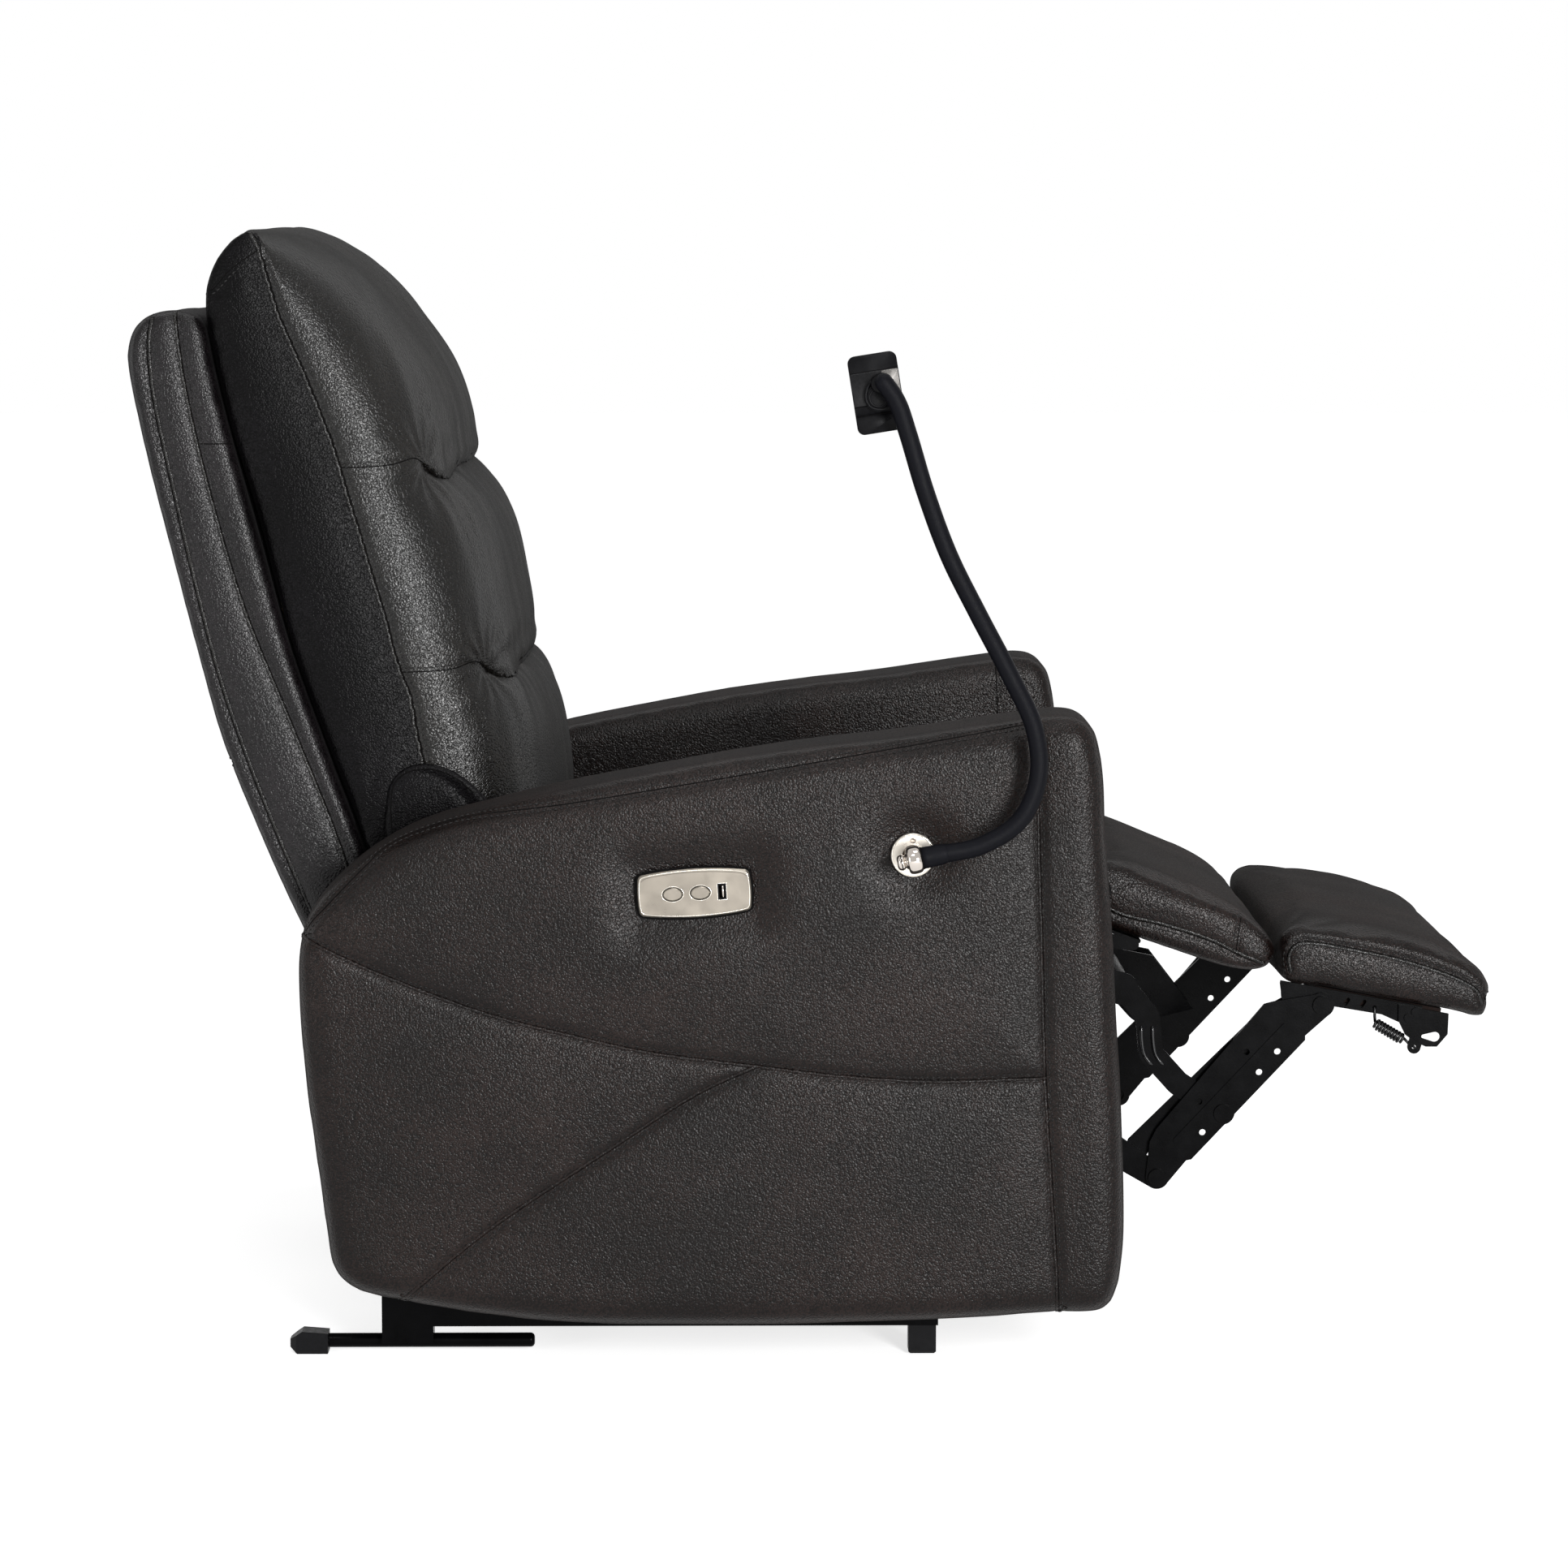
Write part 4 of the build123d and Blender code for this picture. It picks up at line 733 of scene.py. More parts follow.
def arm_relief(co, face, lines, seed):
    """How far each point of an arm's leather stands out: drawn in at its seams and full between them."""
    outside = np.clip(1 - np.abs(co[:, 1] - P(0, face, 0)[1]) / 0.030, 0, 1)
    from_side = np.array([1, 0, 1])
    near = np.full(len(co), 9.0)
    move = np.zeros(len(co))
    for key, line in lines.items():
        d, t = distance_to(co * from_side, line * from_side)
        near = np.minimum(near, d)
        ends = np.clip(np.minimum(t, 1 - t) * 12 + 0.25, 0, 1) if key == "diagonal" else 1.0
        move -= 0.0028 * bell(d, 0.0045) * outside * ends
    fullness = 1 - np.exp(-near / 0.035)
    move += outside * (0.0042 * fullness - 0.0015)
    if face < 0:
        # drawn in round the switch plate and the holder's flange, with a pocket for the pressed buttons
        local = (co - P(PLATE_X, face, PLATE_Z)) * 1000
        u, v = turned(local[:, 0], local[:, 2], -PLATE_TILT)
        move -= outside * 0.0070 * bell(past_box(u, v, 52, 21), 24)
        move -= outside * 0.0065 * bell(past_box(u + 7.5, v, 24, 7), 6)
        from_flange = np.hypot(co[:, 0] * 1000 - FLANGE_X, co[:, 2] * 1000 - FLANGE_Z)
        move -= outside * 0.0064 * bell(np.maximum(from_flange - 19, 0), 24)
    return move + 0.0009 * fbm(co, 9.0, seed) * (0.4 + fullness)


def make_arm(side, seed):
    sign = SIDES[side]
    outer, inner = sign * ARM_OUTER, sign * ARM_INNER
    rings = rounded_rings(smooth(ARM, 9, True), outer, inner, 24, 17)
    obj = loft("arm_%s_leather" % side, rings, ARM_HIDE)
    remesh(obj, 0.0065)
    relax(obj, 4)
    refine(obj)
    lines = {key: line_at(pts, outer - sign * 3 if key == "top" else outer) for key, pts in ARM_SEAMS.items()}
    push(obj, arm_relief(coords(obj), outer, lines, seed))
    seams = Seams(obj)
    inwards = (0, -sign, 0)
    seams.sew(lines["top"], inwards, (4.5 * sign, -4.0 * sign))
    for key, welt in (("front", 1.8), ("swoosh", 1.6), ("diagonal", 1.6)):
        seams.sew(lines[key], inwards, (-4.0 * sign,), welt * sign)
    # over the top of the arm, down its inner front edge, and round its rear
    over = [(416, 628), (408, 634), (395, 638), (353, 639), (310, 638), (297, 634), (291, 628)]
    inner_front = [(204, 622), (208, 544), (213, 390), (218, 240), (226, 120)]
    rear = [(-485, 415), (-489, 405), (-491, 353), (-489, 301), (-484, 291)]
    seams.sew(line_through([(204, y, z) for y, z in over], 3.0, sign))
    seams.sew(line_at(inner_front, inner), (0, sign, 0))
    seams.sew(line_through([(x, y, 427) for x, y in rear], 3.0, sign))
    upholster(obj, "chair", "arm_" + side)
    seams.make("arm_" + side, "chair", ARM_HIDE)


make_arm("right", 3.0)
make_arm("left", 7.0)


# ---- back pillow
PILLOW_HALF, PILLOW_POWER = 279.0, 2.7  # half its width, and how squarely its front swells
CHANNEL_STEPS = 140  # points on each half of a channel line
PILLOW_FRONT = [
    (-258, 483), (-246, 508), (-244, 531), (-249, 568), (-254, 600), (-262, 628), (-273, 651), (-286, 668),
    (-282, 690), (-286, 716), (-292, 746), (-298, 778), (-307, 806), (-322, 834), (-347, 864), (-343, 884),
    (-347, 908), (-354, 931), (-364, 955), (-378, 979), (-396, 1005), (-420, 1035), (-448, 1060),
    (-480, 1079), (-517, 1091), (-549, 1093),
]
PILLOW_SEAM = [
    (-372, 483), (-373, 508), (-374, 531), (-376, 555), (-378, 577), (-384, 605), (-390, 640), (-399, 664),
    (-406, 686), (-412, 712), (-421, 742), (-430, 772), (-438, 800), (-447, 830), (-456, 861), (-463, 884),
    (-471, 905), (-479, 926), (-488, 948), (-497, 970), (-506, 990), (-514, 1010), (-521, 1034), (-527, 1056),
    (-531, 1075), (-536, 1088),
]
PILLOW_REAR = [
    (-560, 1078), (-577, 1052), (-585, 1025), (-585, 998), (-560, 890), (-532, 790), (-507, 692), (-470, 585),
    (-440, 510), (-428, 486), (-380, 478),
]


def bulge(u):
    """How much of the front's swell is left, u of the way from the pillow's middle to its side seam."""
    return (1 - u**PILLOW_POWER) ** (1 / PILLOW_POWER)


def pillow_ring(y):
    u = min(abs(y) / PILLOW_HALF, 1.0)
    swell, side_seam = (resample(smooth(line, 5), 110) for line in (PILLOW_FRONT, PILLOW_SEAM))
    front = side_seam + (swell - side_seam) * bulge(u)
    rear = resample(smooth([tuple(front[-1])] + PILLOW_REAR + [tuple(front[0])], 9)[1:-1], 90)
    sink = 6 * max(0.0, (u - 0.9) / 0.1) ** 2
    rear[:, 0] += sink * np.clip((1040 - rear[:, 1]) / 60, 0, 1) * np.clip((rear[:, 1] - 500) / 40, 0, 1)
    return in_plane(np.concatenate([front, rear]), y)


def channel_line(z_front, z_seam):
    """A sewn channel line across the pillow (metres): flat at its ends, then dipping."""
    ends = []
    for line, z in ((PILLOW_FRONT, z_front), (PILLOW_SEAM, z_seam)):
        pts = smooth(line, 1.0)
        ends.append(pts[np.argmin(np.abs(pts[:, 1] - z))])
    out = []
    for k in np.linspace(-1, 1, 2 * CHANNEL_STEPS + 1):
        across = math.sin(k * math.pi / 2)
        u = abs(across)
        x, z = ends[1] + (ends[0] - ends[1]) * bulge(u)
        dip = 7 * bell(u - 0.90, 0.05) - 13 * bell(u - 0.68, 0.13)
        out.append(P(x, PILLOW_HALF * across, z + dip))
    return np.array(out)


def tuft(t):
    """1 along the deep middle of a channel line, falling away to the flat seams at its ends."""
    u = np.abs(np.sin((t * 2 - 1) * math.pi / 2))
    return 1 / (1 + np.exp((u - 0.845) / 0.018))


def pillow_relief(obj, channels):
    """Overhanging channels with drag lines between them, on a surface that is finely uneven."""
    co, no = coords(obj), normals(obj)
    move, fall = np.zeros(len(co)), np.zeros(len(co))
    drag = 0.0026 * fbm(co, 62.0, 2.0, (0.3, 1, 0.16))
    for line in channels:
        # a sharp crease: the upper channel bulges out and hangs over it, the lower one is tucked in under it
        d, t = distance_to(co, line)
        k = np.clip((t * (len(line) - 1)).round().astype(int), 0, len(line) - 1)
        above = co[:, 2] > line[k, 2]
        deep = tuft(t)
        move += deep * np.where(above, 0.0035 * bell(d - 0.010, 0.010), -0.0050 * np.exp(-d / 0.005))
        fall += deep * np.where(above, 0.0075 * np.exp(-d / 0.014), 0.0)
        # drag lines running up and down out of the crease, and a fan of them at each end of it
        move += np.exp(-d / 0.050) * np.clip(d / 0.006, 0, 1) * deep * drag
        for sign in (-1, 1):
            rel = co - line[int(CHANNEL_STEPS * (1 + sign * 0.655))]
            r = np.linalg.norm(rel, axis=1)
            angle = np.arctan2(rel[:, 2], -sign * rel[:, 1] + 0.5 * rel[:, 0])
            fan = np.cos(angle * 11 + 25 * r) * np.exp(-r / 0.035)
            move += 0.0013 * fan * np.clip((r - 0.006) / 0.012, 0, 1)
    front = np.clip((no[:, 0] - 0.25) / 0.4, 0, 1)
    move += front * 0.0013 * fbm(co, 34.0, 5.0, (1, 1, 0.14)) + 0.0014 * fbm(co, 11.0, 9.0)
    co = co + no * move[:, None]
    co[:, 2] -= fall
    set_coords(obj, co)


def sew_channel(seams, line):
    """Flat stitched seams at the ends of a channel line, and a deep crease along its middle, drawn as a dark
    tube of painted shade.
    """
    t = np.linspace(0, 1, len(line))
    flat = tuft(t) < 0.35
    for sign, end in ((-1, line[(t < 0.5) & flat]), (1, line[(t > 0.5) & flat])):
        seams.sew(resample(end, 60), (-0.8, -0.6 * sign, 0), (3.5,))
    middle = line[~flat]
    pts, nos = drape(seams.surface, middle)
    pts[:, 2] = 0.4 * pts[:, 2] + 0.6 * middle[:, 2]
    for _ in range(12):
        pts[1:-1] = (pts[:-2] + 2 * pts[1:-1] + pts[2:]) / 4
    # painted shade: a dark tube along the deep crease
    seams.creases.tube(pts - nos * 0.001, 0.0017, 6, 1.0, nos)


def side_panels(obj):
    """Gives the pillow's sides, behind its side seams, their own purple-grey leather, darker than the front
    as painted shade.
    """
    obj.data.materials.append(SHADED_SIDE_HIDE)
    centres = vectors(obj.data.polygons, "center")
    seam = smooth(PILLOW_SEAM, 3.0) / 1000
    behind = centres[:, 0] < np.interp(centres[:, 2], seam[:, 1], seam[:, 0])
    index = (behind & (centres[:, 2] < 1.085)).astype(int)
    obj.data.polygons.foreach_set("material_index", index)


def make_pillow():
    ys = PILLOW_HALF * np.sin(np.linspace(-math.pi / 2, math.pi / 2, 61))
    obj = loft("back_pillow_leather", [pillow_ring(y) for y in ys], HIDE)
    remesh(obj, 0.0055)
    relax(obj, 3)
    channels = [channel_line(864, 861), channel_line(668, 664)]
    sides = both_sides(PILLOW_SEAM, PILLOW_HALF)
    for line in channels:
        groove(obj, line, lambda t: 2.0 * tuft(t), 9.0)
    co = coords(obj)
    rear = np.clip((-co[:, 0] * 1000 - 440 + (co[:, 2] * 1000 - 480) * -0.27) / 20, 0, 1) * (co[:, 2] < 1.03)
    low = np.where(co[:, 2] < 0.505, 1.0, 0.0)
    inflate(obj, np.maximum(np.maximum(held_by(co, channels + sides), low), rear), 4.0, 0.005)
    refine(obj)
    pillow_relief(obj, channels)
    for line in sides:
        groove(obj, line, 2.4, 4.5)
    seams = Seams(obj)
    for sign, line in zip((-1, 1), sides):
        seams.sew(line, None, (5.0 * sign,), -2.2 * sign)
    for line in channels:
        sew_channel(seams, line)
    # corner seams of the side panels, and the seam behind the crown
    corner = [
        (-533, 279, 1068), (-546, 279.5, 1060), (-560, 279.5, 1049), (-571, 278, 1037), (-580, 270, 1026),
    ]
    crown = [(-534, 279, 1078), (-548, 276, 1092), (-556, 268, 1092)]
    for sign in (-1, 1):
        seams.sew(line_through(corner, 2.0, sign), None, (-4.0 * sign,))
        seams.sew(line_through(crown, 2.0, sign), None, (4.0 * sign,))
    side_panels(obj)
    upholster(obj, "backrest", "back_pillow")
    seams.make("pillow", "backrest")


make_pillow()


# ---- back shell
SHELL_HALF = 281
SHELL = [
    (-412, 312), (-440, 313), (-455, 322), (-475, 366), (-496, 412), (-534, 495), (-570, 588), (-596, 680),
    (-619, 774), (-642, 867), (-656, 936), (-660, 962), (-658, 985), (-648, 1001), (-632, 1010), (-608, 1011),
    (-588, 1003), (-584, 994), (-578, 959), (-559, 880), (-529, 768), (-507, 690), (-470, 580), (-434, 480),
    (-416, 395), (-402, 322),
]
SHELL_SEAM_REAR = [
    (-636, 1008), (-640, 985), (-637, 936), (-616, 830), (-595, 735), (-573, 649), (-535, 540), (-493, 437),
    (-452, 345),
]
SHELL_SEAM_FRONT = [
    (-612, 1010), (-610, 990), (-604, 944), (-586, 859), (-549, 727), (-503, 610), (-462, 505), (-432, 410),
    (-415, 340),
]


def shell_relief(obj, lines):
    """The rear panel's crown and the side bands' fullness between their seams."""
    co, no = coords(obj), normals(obj)
    side = np.clip((np.abs(no[:, 1]) - 0.4) / 0.4, 0, 1)
    rear = np.clip((-no[:, 0] - 0.4) / 0.4, 0, 1)
    crown = np.clip(1 - (np.abs(co[:, 1] * 1000 - CY) / 270) ** 2, 0, 1)
    near = np.min([distance_to(co, line)[0] for line in lines], axis=0)
    bands = 0.0030 * (1 - np.exp(-near / 0.02)) - 0.001
    push(obj, 0.0012 * fbm(co, 8.0, 4.0) + rear * 0.006 * crown + side * bands)


def make_shell():
    rings = rounded_rings(smooth(SHELL, 8, True), -SHELL_HALF, SHELL_HALF, 13, 13)
    obj = loft("back_shell_leather", rings, SHELL_HIDE)
    remesh(obj, 0.0075)
    relax(obj, 2)
    refine(obj)
    sewn = []  # side of the chair, side of the seam that is stitched, and the line
    for sign in (-1, 1):
        for stitched, points in ((1, SHELL_SEAM_REAR), (-1, SHELL_SEAM_FRONT)):
            sewn.append((sign, stitched, line_at(points, sign * (SHELL_HALF - 1))))
    shell_relief(obj, [line for _, _, line in sewn])
    for _, _, line in sewn:
        groove(obj, line, 2.4, 4.5)
    seams = Seams(obj)
    for sign, stitched, line in sewn:
        seams.sew(line, (0, -sign, 0), (4.5 * stitched * sign,), -2.0 * stitched * sign)
    bevel = [(-591, 280, 884), (-578, 280, 884), (-562, 276, 884), (-558, 268, 884)]
    for sign in (-1, 1):
        seams.sew(line_through(bevel, 2.0, sign), None, ())
    # the back panel is sewn in two lengths
    waist = [(-566, -270, 575), (-569, -262, 575), (-571, 0, 575), (-569, 262, 575), (-566, 270, 575)]
    groove(obj, line_through(waist, 4.0), 2.0, 4.5)
    seams.surface = surface_of(obj)
    seams.sew(line_through(waist, 3.0), None, (4.0, -4.0))
    upholster(obj, "backrest", "back_shell")
    seams.make("shell", "backrest")


make_shell()


# ---- ears between pillow and arms
EAR_FACE = 288  # just inside the arms
EAR = [
    (-318, 500), (-316, 538), (-326, 551), (-348, 568), (-371, 576), (-394, 573), (-409, 562), (-414, 543),
    (-412, 500),
]
EAR_FOLD = [(-410, 560), (-398, 566), (-372, 566), (-352, 556), (-338, 542), (-328, 522)]
EAR_EDGE = [(-409, 505), (-410, 540), (-406, 558), (-394, 568), (-371, 571), (-350, 564), (-330, 548)]


def make_ear(side):
    sign = SIDES[side]
    rings = rounded_rings(smooth(EAR, 3, True), sign * (EAR_FACE + 0.2), sign * 279.2, 4.4, 4.2, 4)
    # the flap gets the darker side leather: painted shade
    obj = loft("back_ear_%s_leather" % side, rings, SHADED_SIDE_HIDE)
    remesh(obj, 0.0022)
    relax(obj, 3)
    # a fold curls round inside the flap
    co = coords(obj)
    d, _ = distance_to(co, line_at(EAR_FOLD, sign * EAR_FACE, 1.5))
    push(obj, 0.0008 * fbm(co, 40, 3.0) - 0.0022 * bell(d, 0.006))
    seams = Seams(obj)
    seams.sew(line_at(EAR_EDGE, sign * EAR_FACE), (0, -sign, 0), ())
    upholster(obj, "backrest", "back_ear_" + side)
    # painted shade: the dark line along the flap's edge seam
    seams.creases.make("ear_%s_crease" % side, CREASE_SHADE, "backrest", "leather")


for side in SIDES:
    make_ear(side)


# ---- seat cushion
SEAT = [
    (-236, 402), (-237, 440), (-225, 461), (-140, 476), (-20, 488), (100, 492), (185, 490), (215, 484),
    (232, 468), (236, 445), (236, 415), (233, 401), (200, 399.5), (0, 399.5), (-200, 399.5),
]


def cut_corner(obj, sign):
    """Room beside a front corner of the seat for the arm's frame."""
    corners = [P(x, sign * y, z) for x in (120, 260) for y in (231.5, 300) for z in (380, 464)]
    faces = [(0, 1, 3, 2), (4, 6, 7, 5), (0, 4, 5, 1), (2, 3, 7, 6), (0, 2, 6, 4), (1, 5, 7, 3)]
    cutter = new_object("cut", corners, faces, None, False)
    face_out(cutter)
    modify(obj, "BOOLEAN", object=cutter, solver="EXACT")
    bpy.data.objects.remove(cutter)


def make_seat():
    obj = loft("seat_cushion_leather", rounded_rings(smooth(SEAT, 8, True), -282, 282, 13, 13), HIDE)
    for sign in (-1, 1):
        cut_corner(obj, sign)
    remesh(obj, 0.0075)
    relax(obj, 3)
    co = coords(obj)
    from_middle = np.abs(co[:, 1] * 1000 - CY)
    holds = (
        (1.0, co[:, 2] < 0.404),
        (1.0, (from_middle > 225) & (co[:, 0] > 0.10) & (co[:, 2] < 0.47)),
        (0.9, from_middle > 281),
        (0.7, (co[:, 0] > 0.234) | (co[:, 0] < -0.235)),
    )
    inflate(obj, np.max([weight * where for weight, where in holds], axis=0), 3.0, 0.008)
    refine(obj)
    co = coords(obj)
    top = np.clip((normals(obj)[:, 2] - 0.5) / 0.4, 0, 1)
    push(obj, 0.0016 * fbm(co, 7.0, 8.0) + top * 0.0008 * fbm(co, 30.0, 1.0, (0.3, 1, 1)))
    crest = [(226, -270, 474), (229, -200, 476), (230, 0, 477), (229, 200, 476), (226, 270, 474)]
    crest = line_through(crest, 4.0)
    groove(obj, crest, 2.4, 5.0)
    seams = Seams(obj)
    seams.sew(crest, None, (4.5, -4.5))
    upholster(obj, "chair", "seat_cushion")
    seams.make("seat", "chair")


make_seat()


# ---- mid pad and ottoman
def make_pad(name, profile, half, edge, sides, seed):
    """A footrest pad's leather, drawn in under its side seams, blown up and finely uneven."""
    rings = rounded_rings(smooth(profile, 5, True), -half, half, edge, edge)
    obj = loft(name, rings, ARM_HIDE)
    remesh(obj, 0.006)
    relax(obj, 2)
    under = np.clip((-normals(obj)[:, 2] - 0.5) / 0.3, 0, 1)
    inflate(obj, np.maximum(under, held_by(coords(obj), sides)), 3.0, 0.004)
    refine(obj)
    push(obj, 0.0011 * fbm(coords(obj), 12.0, seed))
    for line in sides:
        groove(obj, line, 2.2, 4.5)
    return obj


def nose_line(x, z, half, tip, bend):
    """A line across a pad at one place of its profile, ending a tip (mm) inside its edges."""
    return line_through([(x, y, z) for y in (tip - half, bend - half, 0, half - bend, half - tip)], 4.0)


def make_mid_pad():
    half = 238.4
    profile = on_slope(
        MID_PAD,
        (-19, -31), (-20, 4), (-14, 24), (8, 30), (60, 30), (120, 27), (157, 20), (180, 8), (187, -3),
        (182, -18), (166, -27), (134, -32), (90, -33), (30, -33),
    )
    side = on_slope(MID_PAD, (-18, -8), (24, -17.7), (75, -13), (122, -11.8), (151, -15), (178, -16))
    tip = on_slope(MID_PAD, (141, 21), (143, 9), (146, -5), (148.5, -15))
    sides, tips = both_sides(side, half), both_sides(tip, half)
    nose = nose_line(*on_slope(MID_PAD, (186, -10))[0], half, 4, 30)
    obj = make_pad("mid_pad_leather", profile, half, 12, sides, 6.0)
    groove(obj, nose, 1.6, 4.5)
    for line in tips:
        groove(obj, line, 1.6, 4.0)
    seams = Seams(obj)
    seams.sew_sides(sides, 4.0, -1.8)
    seams.sew_sides(tips, 4.0)
    seams.sew(nose)
    upholster(obj, "mid_pad", "mid_pad")
    seams.make("mid_pad", "mid_pad")


def make_ottoman():
    half = 254.0
    profile = on_slope(
        OTTOMAN,
        (-42, 17), (-49, 36), (-54, 58), (-44, 72), (-20, 77), (20, 79), (60, 79.5), (105, 75), (135, 69),
        (152, 59), (160, 46), (161, 32), (158, 17), (148, 15.5), (134, 17), (60, 17), (0, 17),
    )
    side = on_slope(
        OTTOMAN,
        (-38, 26), (-43, 40), (-41, 51), (-33, 58), (-18, 60.5), (16, 61), (60, 60), (100, 56), (130, 50),
        (148, 42), (155, 30),
    )
    sides = both_sides(side, half)
    obj = make_pad("ottoman_pad_leather", profile, half, 13, sides, 16.0)
    seams = Seams(obj)
    seams.sew_sides(sides, -4.0, 1.8)
    nose = nose_line(*on_slope(OTTOMAN, (160, 38))[0], half, 3, 25)
    groove(obj, nose, 1.6, 4.5)
    seams.surface = surface_of(obj)
    seams.sew(nose)
    upholster(obj, "ottoman", "ottoman_pad")
    seams.make("ottoman", "ottoman")


make_mid_pad()
make_ottoman()


# ---- springs
def make_springs():
    """A hook, a coil and a second hook on each side, between the ottoman's board and its link."""
    turns, steps, coil = 10, 14, 0.0046
    bag = Bag()
    for sign in (-1, 1):
        def at(s, n, y):
            x, z = on_slope(OTTOMAN, (s, n))[0]
            return P(x, sign * y, z)

        start = at(54.5, -8.5, 243.65)
        run = at(86, -20, 243.65) - start
        axis = run / np.linalg.norm(run)
        side = np.cross(axis, [0, 1, 0])
        side /= np.linalg.norm(side)
        up = np.cross(axis, side)
        pts = [at(52, 6.5, 240.6), at(52, 6.5, 243.6), at(52.2, 5.6, 244.3), at(53.4, -1.5, 244.3)]
        for k in range(turns * steps + 1):
            t = k / (turns * steps)
            w = 2 * math.pi * turns * t
            r = coil * min(1, 0.35 + 8 * t, 0.35 + 8 * (1 - t))
            pts.append(start + run * t + r * (math.cos(w) * side + math.sin(w) * up))
        pts += [at(92, -22.6, 243.0), at(96.4, -24.2, 243.0), at(97, -24.5, 244.2), at(97, -24.5, 247.4)]
        bag.tube(np.array(pts), 0.00150, 7)
    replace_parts(bag.make("ottoman_spring_coils", SPRING, "ottoman", "zinc_steel"), "ottoman_springs")


make_springs()


# ---- switch plate
PLATE_HALF_WIDTH, PLATE_HALF_HEIGHT = 52, 20


def plate_points(outline, out):
    """Points u, v of the switch plate, out from the arm's face (mm), in metres."""
    pts = []
    for u, v in outline:
        x, z = turned(u, v, PLATE_TILT)
        pts.append(P(PLATE_X + x, -ARM_OUTER - out, PLATE_Z + z))
    return pts


def plate_outline(inset):
    """The plate's outline: four sides that bulge a little, with their corners worn round."""
    w, h, bulge_v, bulge_u = PLATE_HALF_WIDTH - inset, PLATE_HALF_HEIGHT - inset, 3.0, 1.5
    corners = [(-w, h - 1), (w, h - 1), (w, 1 - h), (-w, 1 - h)]
    middles = [(0, h + bulge_v), (w + bulge_u, 0), (0, -h - bulge_v), (-w - bulge_u, 0)]
    pts = []
    for k in range(4):
        a, b, c = (np.array(q) for q in (corners[k], middles[k], corners[(k + 1) % 4]))
        for t in np.linspace(0, 1, 25)[:-1]:
            pts.append((1 - t) * (1 - 2 * t) * a + 4 * t * (1 - t) * b + t * (2 * t - 1) * c)
    pts = np.array(pts)
    for _ in range(4):
        pts = (np.roll(pts, 1, 0) + 2 * pts + np.roll(pts, -1, 0)) / 4
    return pts


def make_plate_trim():
    rim, gap, tongue = Bag(), Bag(), Bag()
    rim.loop(plate_points(plate_outline(1.5), 3.65), 0.00045)
    gap.loop(plate_points(plate_outline(-0.9), 0.7), 0.0013)
    inner = plate_outline(3.0)
    top = inner[inner[:, 1] > 13]
    gap.tube(plate_points(top[np.argsort(top[:, 0])], 3.98), 0.00018, 6)
    for button in (-20.5, 5.5):
        rim.loop(plate_points(oval(button, 0, 10.3, 7.3), 3.85), 0.00034)
        gap.loop(plate_points(oval(button, 0, 10.3 * 0.91, 7.3 * 0.88), 3.95), 0.00034, 6)
    port = [(26 + u, v) for u, v in ((-4.4, -7.9), (4.4, -7.9), (4.4, 7.9), (-4.4, 7.9), (-4.4, -7.9))]
    rim.loop(plate_points(resample(port, 41)[:-1], 3.95), 0.00035, 6)
    contacts = plate_points([(26.9, v) for v in (-5.6, -5.4, 0, 5.4, 5.6)], 2.4)
    tongue.tube(contacts, np.array([0.0004, 0.0011, 0.0011, 0.0011, 0.0004]), 8)
    rim.make("plate_polished_rims", POLISHED, "chair", "champagne_metal")
    gap.make("plate_shadow_gaps", CREASE_SHADE, "chair", "black_plastic")
    tongue.make("usb_contact_tongue", NICKEL, "chair", "nickel")


make_plate_trim()


# ---- holder
COLLAR = [
    (-6.8, 9.0), (-6.4, 11.0), (-5.2, 12.4), (-3.2, 13.0), (0, 13.2), (3.2, 13.0), (5.2, 12.4), (6.4, 11.2),
    (6.8, 10.4),
]
KNOB = [(-16.4, 3.4), (-16.0, 5.4), (-14.8, 6.9), (-12.6, 7.4), (-10.2, 7.0), (-8.8, 5.6), (-8.2, 4.8)]
SLEEVE = [
    (7.4, 9.6), (7.6, 10.3), (12, 10.2), (18, 10.0), (24, 9.9), (28, 9.5), (31, 8.75), (31.4, 8.55),
]


def make_holder_trim():
    """Barrel collar with a waist either side, the clamp knob behind it, and the sleeve on the neck."""
    along = np.array([150 - FLANGE_X, 516 - FLANGE_Z])
    along = along / np.linalg.norm(along)

    def on_axis(shape):
        return [(P(FLANGE_X + along[0] * d, NECK_Y, FLANGE_Z + along[1] * d), r) for d, r in shape]

    collar, joint_shade, sleeve, lip = Bag(), Bag(), Bag(), Bag()
    collar.lathe(on_axis(COLLAR), 28)
    collar.lathe(on_axis(KNOB), 24)
    # painted shade: dark rings in the joints between collar, knob and sleeve
    for d, r in ((-7.6, 5.2), (-12.2, 7.6), (7.2, 10.6)):
        joint_shade.lathe(on_axis([(d - 0.55, r - 0.4), (d - 0.5, r), (d + 0.5, r), (d + 0.55, r - 0.4)]), 24)
    sleeve.lathe(on_axis(SLEEVE), 28)
    lip.loop(in_plane(oval(FLANGE_X, FLANGE_Z, 19.6, 19.6, 64), -421.5), 0.0007)
    collar.make("holder_collar_and_knob", NICKEL, "holder_arm", "nickel")
    joint_shade.make("holder_joint_gap_shade", CREASE_SHADE, "holder_arm", "black_plastic")
    sleeve.make("neck_sleeve", RUBBER, "holder_arm", "soft_rubber")
    lip.make("flange_polished_lip", POLISHED, "chair", "nickel")


NECK = [
    (FLANGE_X + 0.978 * 23.5, FLANGE_Z + 0.208 * 23.5), (150, 516), (187, 540), (204, 580), (200, 626),
    (177, 676), (147, 733), (120, 787), (98, 846), (82, 899), (72, 928), (61, 945), (53.5, 953.0),
]


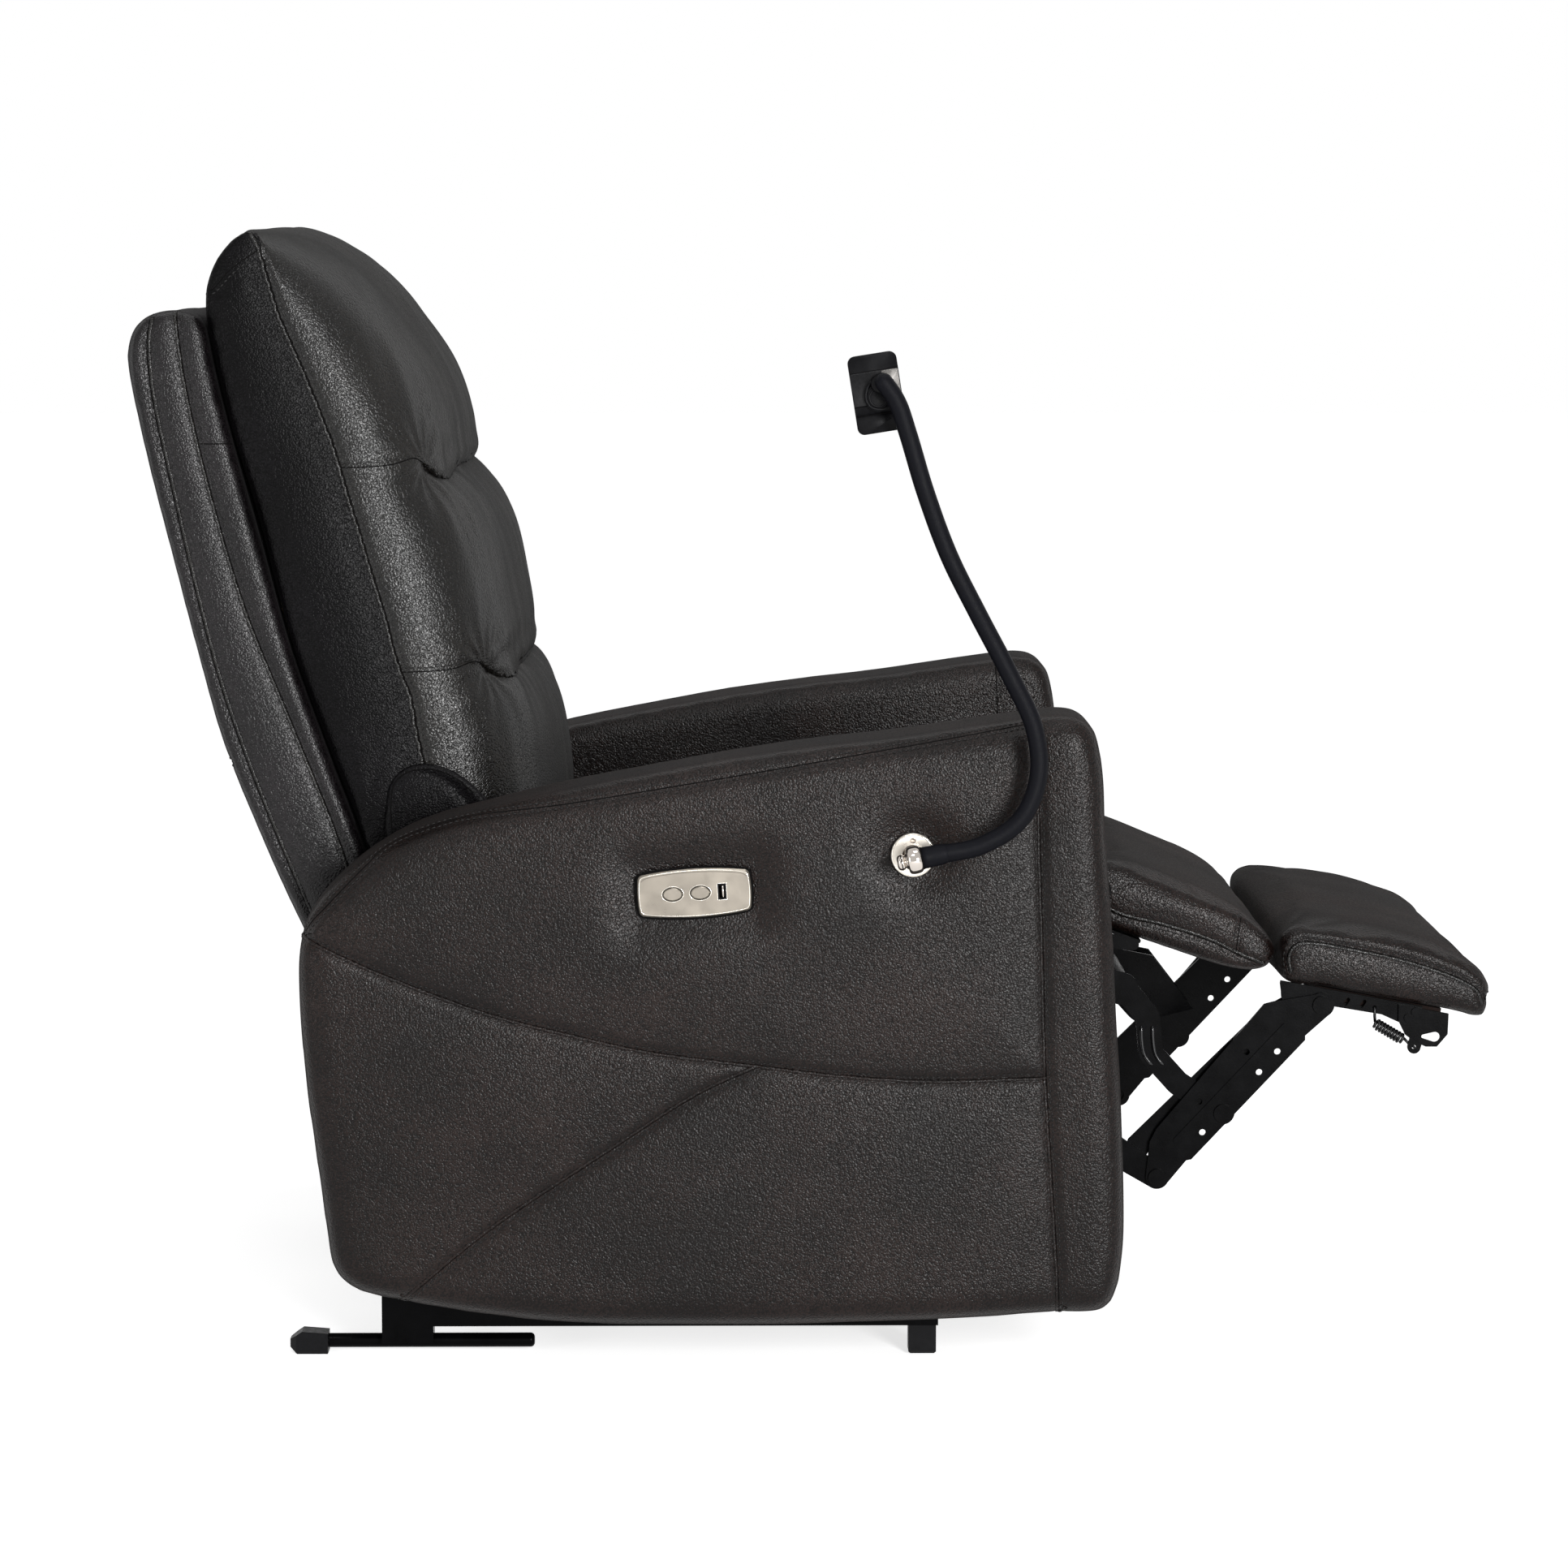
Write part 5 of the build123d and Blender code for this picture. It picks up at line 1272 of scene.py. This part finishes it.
def make_neck():
    """The neck's jacket along the cord's points, with a round end."""
    line = smooth(NECK, 4.0)
    d = lengths(line)
    left = d[-1] - d
    body = left > 9
    tail = [8.0, 6.5, 5.0, 3.6, 2.4, 1.4, 0.6, 0.05]
    end = pick(line, d, [d[-1] - q for q in tail])
    left = np.concatenate([left[body], tail])
    radius = NECK_RADIUS * np.sqrt(np.maximum(1 - (1 - np.clip(left / NECK_RADIUS, 0, 1)) ** 2, 0))
    neck = Bag()
    neck.tube(in_plane(np.concatenate([line[body], end]), NECK_Y), radius / 1000, 28)
    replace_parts(neck.make("gooseneck_jacket", RUBBER, "holder_arm", "soft_rubber"), "gooseneck")


def clip_point(u, v, y):
    """A point on the clip: across it, up it, and at a depth y (mm)."""
    x, z = turned(u, v, CLIP_TILT)
    return P(CLIP_X + x, y, CLIP_Z + z)


def rounded_plate(bag, u0, u1, v0, v1, top, bottom, y0, y1, edge):
    """A flat plate on the clip, with rounded corners (upper and lower radius) and a softened front edge."""
    corners = ((u1 - top, v1 - top, top), (u0 + top, v1 - top, top))
    corners += ((u0 + bottom, v0 + bottom, bottom), (u1 - bottom, v0 + bottom, bottom))
    verts = []
    for depth, inset in ((0, edge), (0.12, edge * 0.35), (0.3, 0), (1, 0)):
        for quarter, (u, v, radius) in enumerate(corners):
            for k in range(7):
                t = math.radians(90 * quarter + 15 * k)
                r = radius - inset
                verts.append(clip_point(u + r * math.cos(t), v + r * math.sin(t), y0 + (y1 - y0) * depth))
    bag.add(verts, ring_faces(4, len(verts) // 4))


CLAMP_NUT = [(-430, 12.2), (-436, 11.8), (-438.2, 11.0), (-438.6, 10.2)]
BALL_SOCKET = [(-430, 9.4), (-440, 8.8), (-444, 8.0), (-444.5, 7.0)]


def make_clip():
    back, jaw, parting_shade, panel, inlay = Bag(), Bag(), Bag(), Bag(), Bag()
    # the clip's back, down to the jaw, with a slider panel let into it, and the lips that hold the phone
    rounded_plate(back, -23, 23, -19.0, 37, 7.0, 0.2, -431.2, -425, 0.15)
    rounded_plate(back, -18, 18, 32, 36, 1.6, 1.6, -425.2, -408.2, 0.3)
    rounded_plate(jaw, -23, 23, -36.5, -19.05, 0.2, 6.5, -431.0, -424.6, 0.15)
    rounded_plate(jaw, -16, 16, -36, 6, 3.0, 3.0, -424.6, -421.8, 0.3)
    rounded_plate(jaw, -18, 18, -36, -32, 1.6, 1.6, -421.8, -408.2, 0.3)
    rounded_plate(panel, -22.6, 22.7, -9.8, 20.8, 1.5, 1.5, -431.7, -430.5, 0.4)
    rounded_plate(inlay, 7, 22.3, -3.0, 20.3, 0.8, 0.8, -432.0, -431.0, 0.2)
    # painted shade: dark lines along the clip's parting seams
    for v, wire in ((21.5, 0.0003), (-10.5, 0.0003), (-19.0, 0.0005)):
        parting_shade.tube([clip_point(u, v, -431.15) for u in np.linspace(-22.6, 22.6, 9)], wire, 6)
    # clamp nut with its wing, and the ball's socket behind the neck's end
    for radius, y, wire in ((11.5, -436.5, 0.0016), (8.3, -438.0, 0.0012)):
        back.loop([clip_point(u, v, y) for u, v in oval(0.5, -4, radius, radius)], wire)
    back.lathe([(clip_point(0.5, -4, y), r) for y, r in CLAMP_NUT], 40)
    back.lathe([(P(56.5, y, 945), r) for y, r in BALL_SOCKET], 32)
    wing = smooth([(-4, 12), (-9, 5), (-11, -3), (-8, -11), (1, -15), (13, -13.5)], 1.5)
    back.tube([clip_point(u, v, -438.8) for u, v in wing], 0.0013, 8)
    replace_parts(back.make("clip_back_shell", PLASTIC, "clip", "black_plastic"), "clip_back")
    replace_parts(jaw.make("clip_jaw_shell", PLASTIC, "jaw", "black_plastic"), "clip_jaw")
    parting_shade.make("clip_parting_line_shade", CREASE_SHADE, "clip", "black_plastic")
    panel.make("clip_slider_panel", GLOSS_PLASTIC, "clip", "black_plastic")
    inlay.make("clip_inlay", INLAY, "clip", "nickel")


make_holder_trim()
make_neck()
make_clip()


# ---- linkage
def make_link_ribs():
    """Two pressed ribs on each rear link."""
    rib = [(326.0, 313), (326.4, 300), (328.8, 286), (333, 279), (337.5, 274.5)]
    bag = Bag()
    for sign in (-1, 1):
        for shift in (-6.5, 4.5):
            pts = line_at([(x + shift, z) for x, z in rib], sign * 245.1, 1.5)
            k = np.arange(len(pts))
            bag.tube(pts, 0.0017 * np.minimum(1, 0.3 + np.minimum(k, k[::-1]) / 3), 10)
    bag.make("rear_link_pressed_ribs", GLOSS_STEEL, "rear_links", "black_steel")


make_link_ribs()
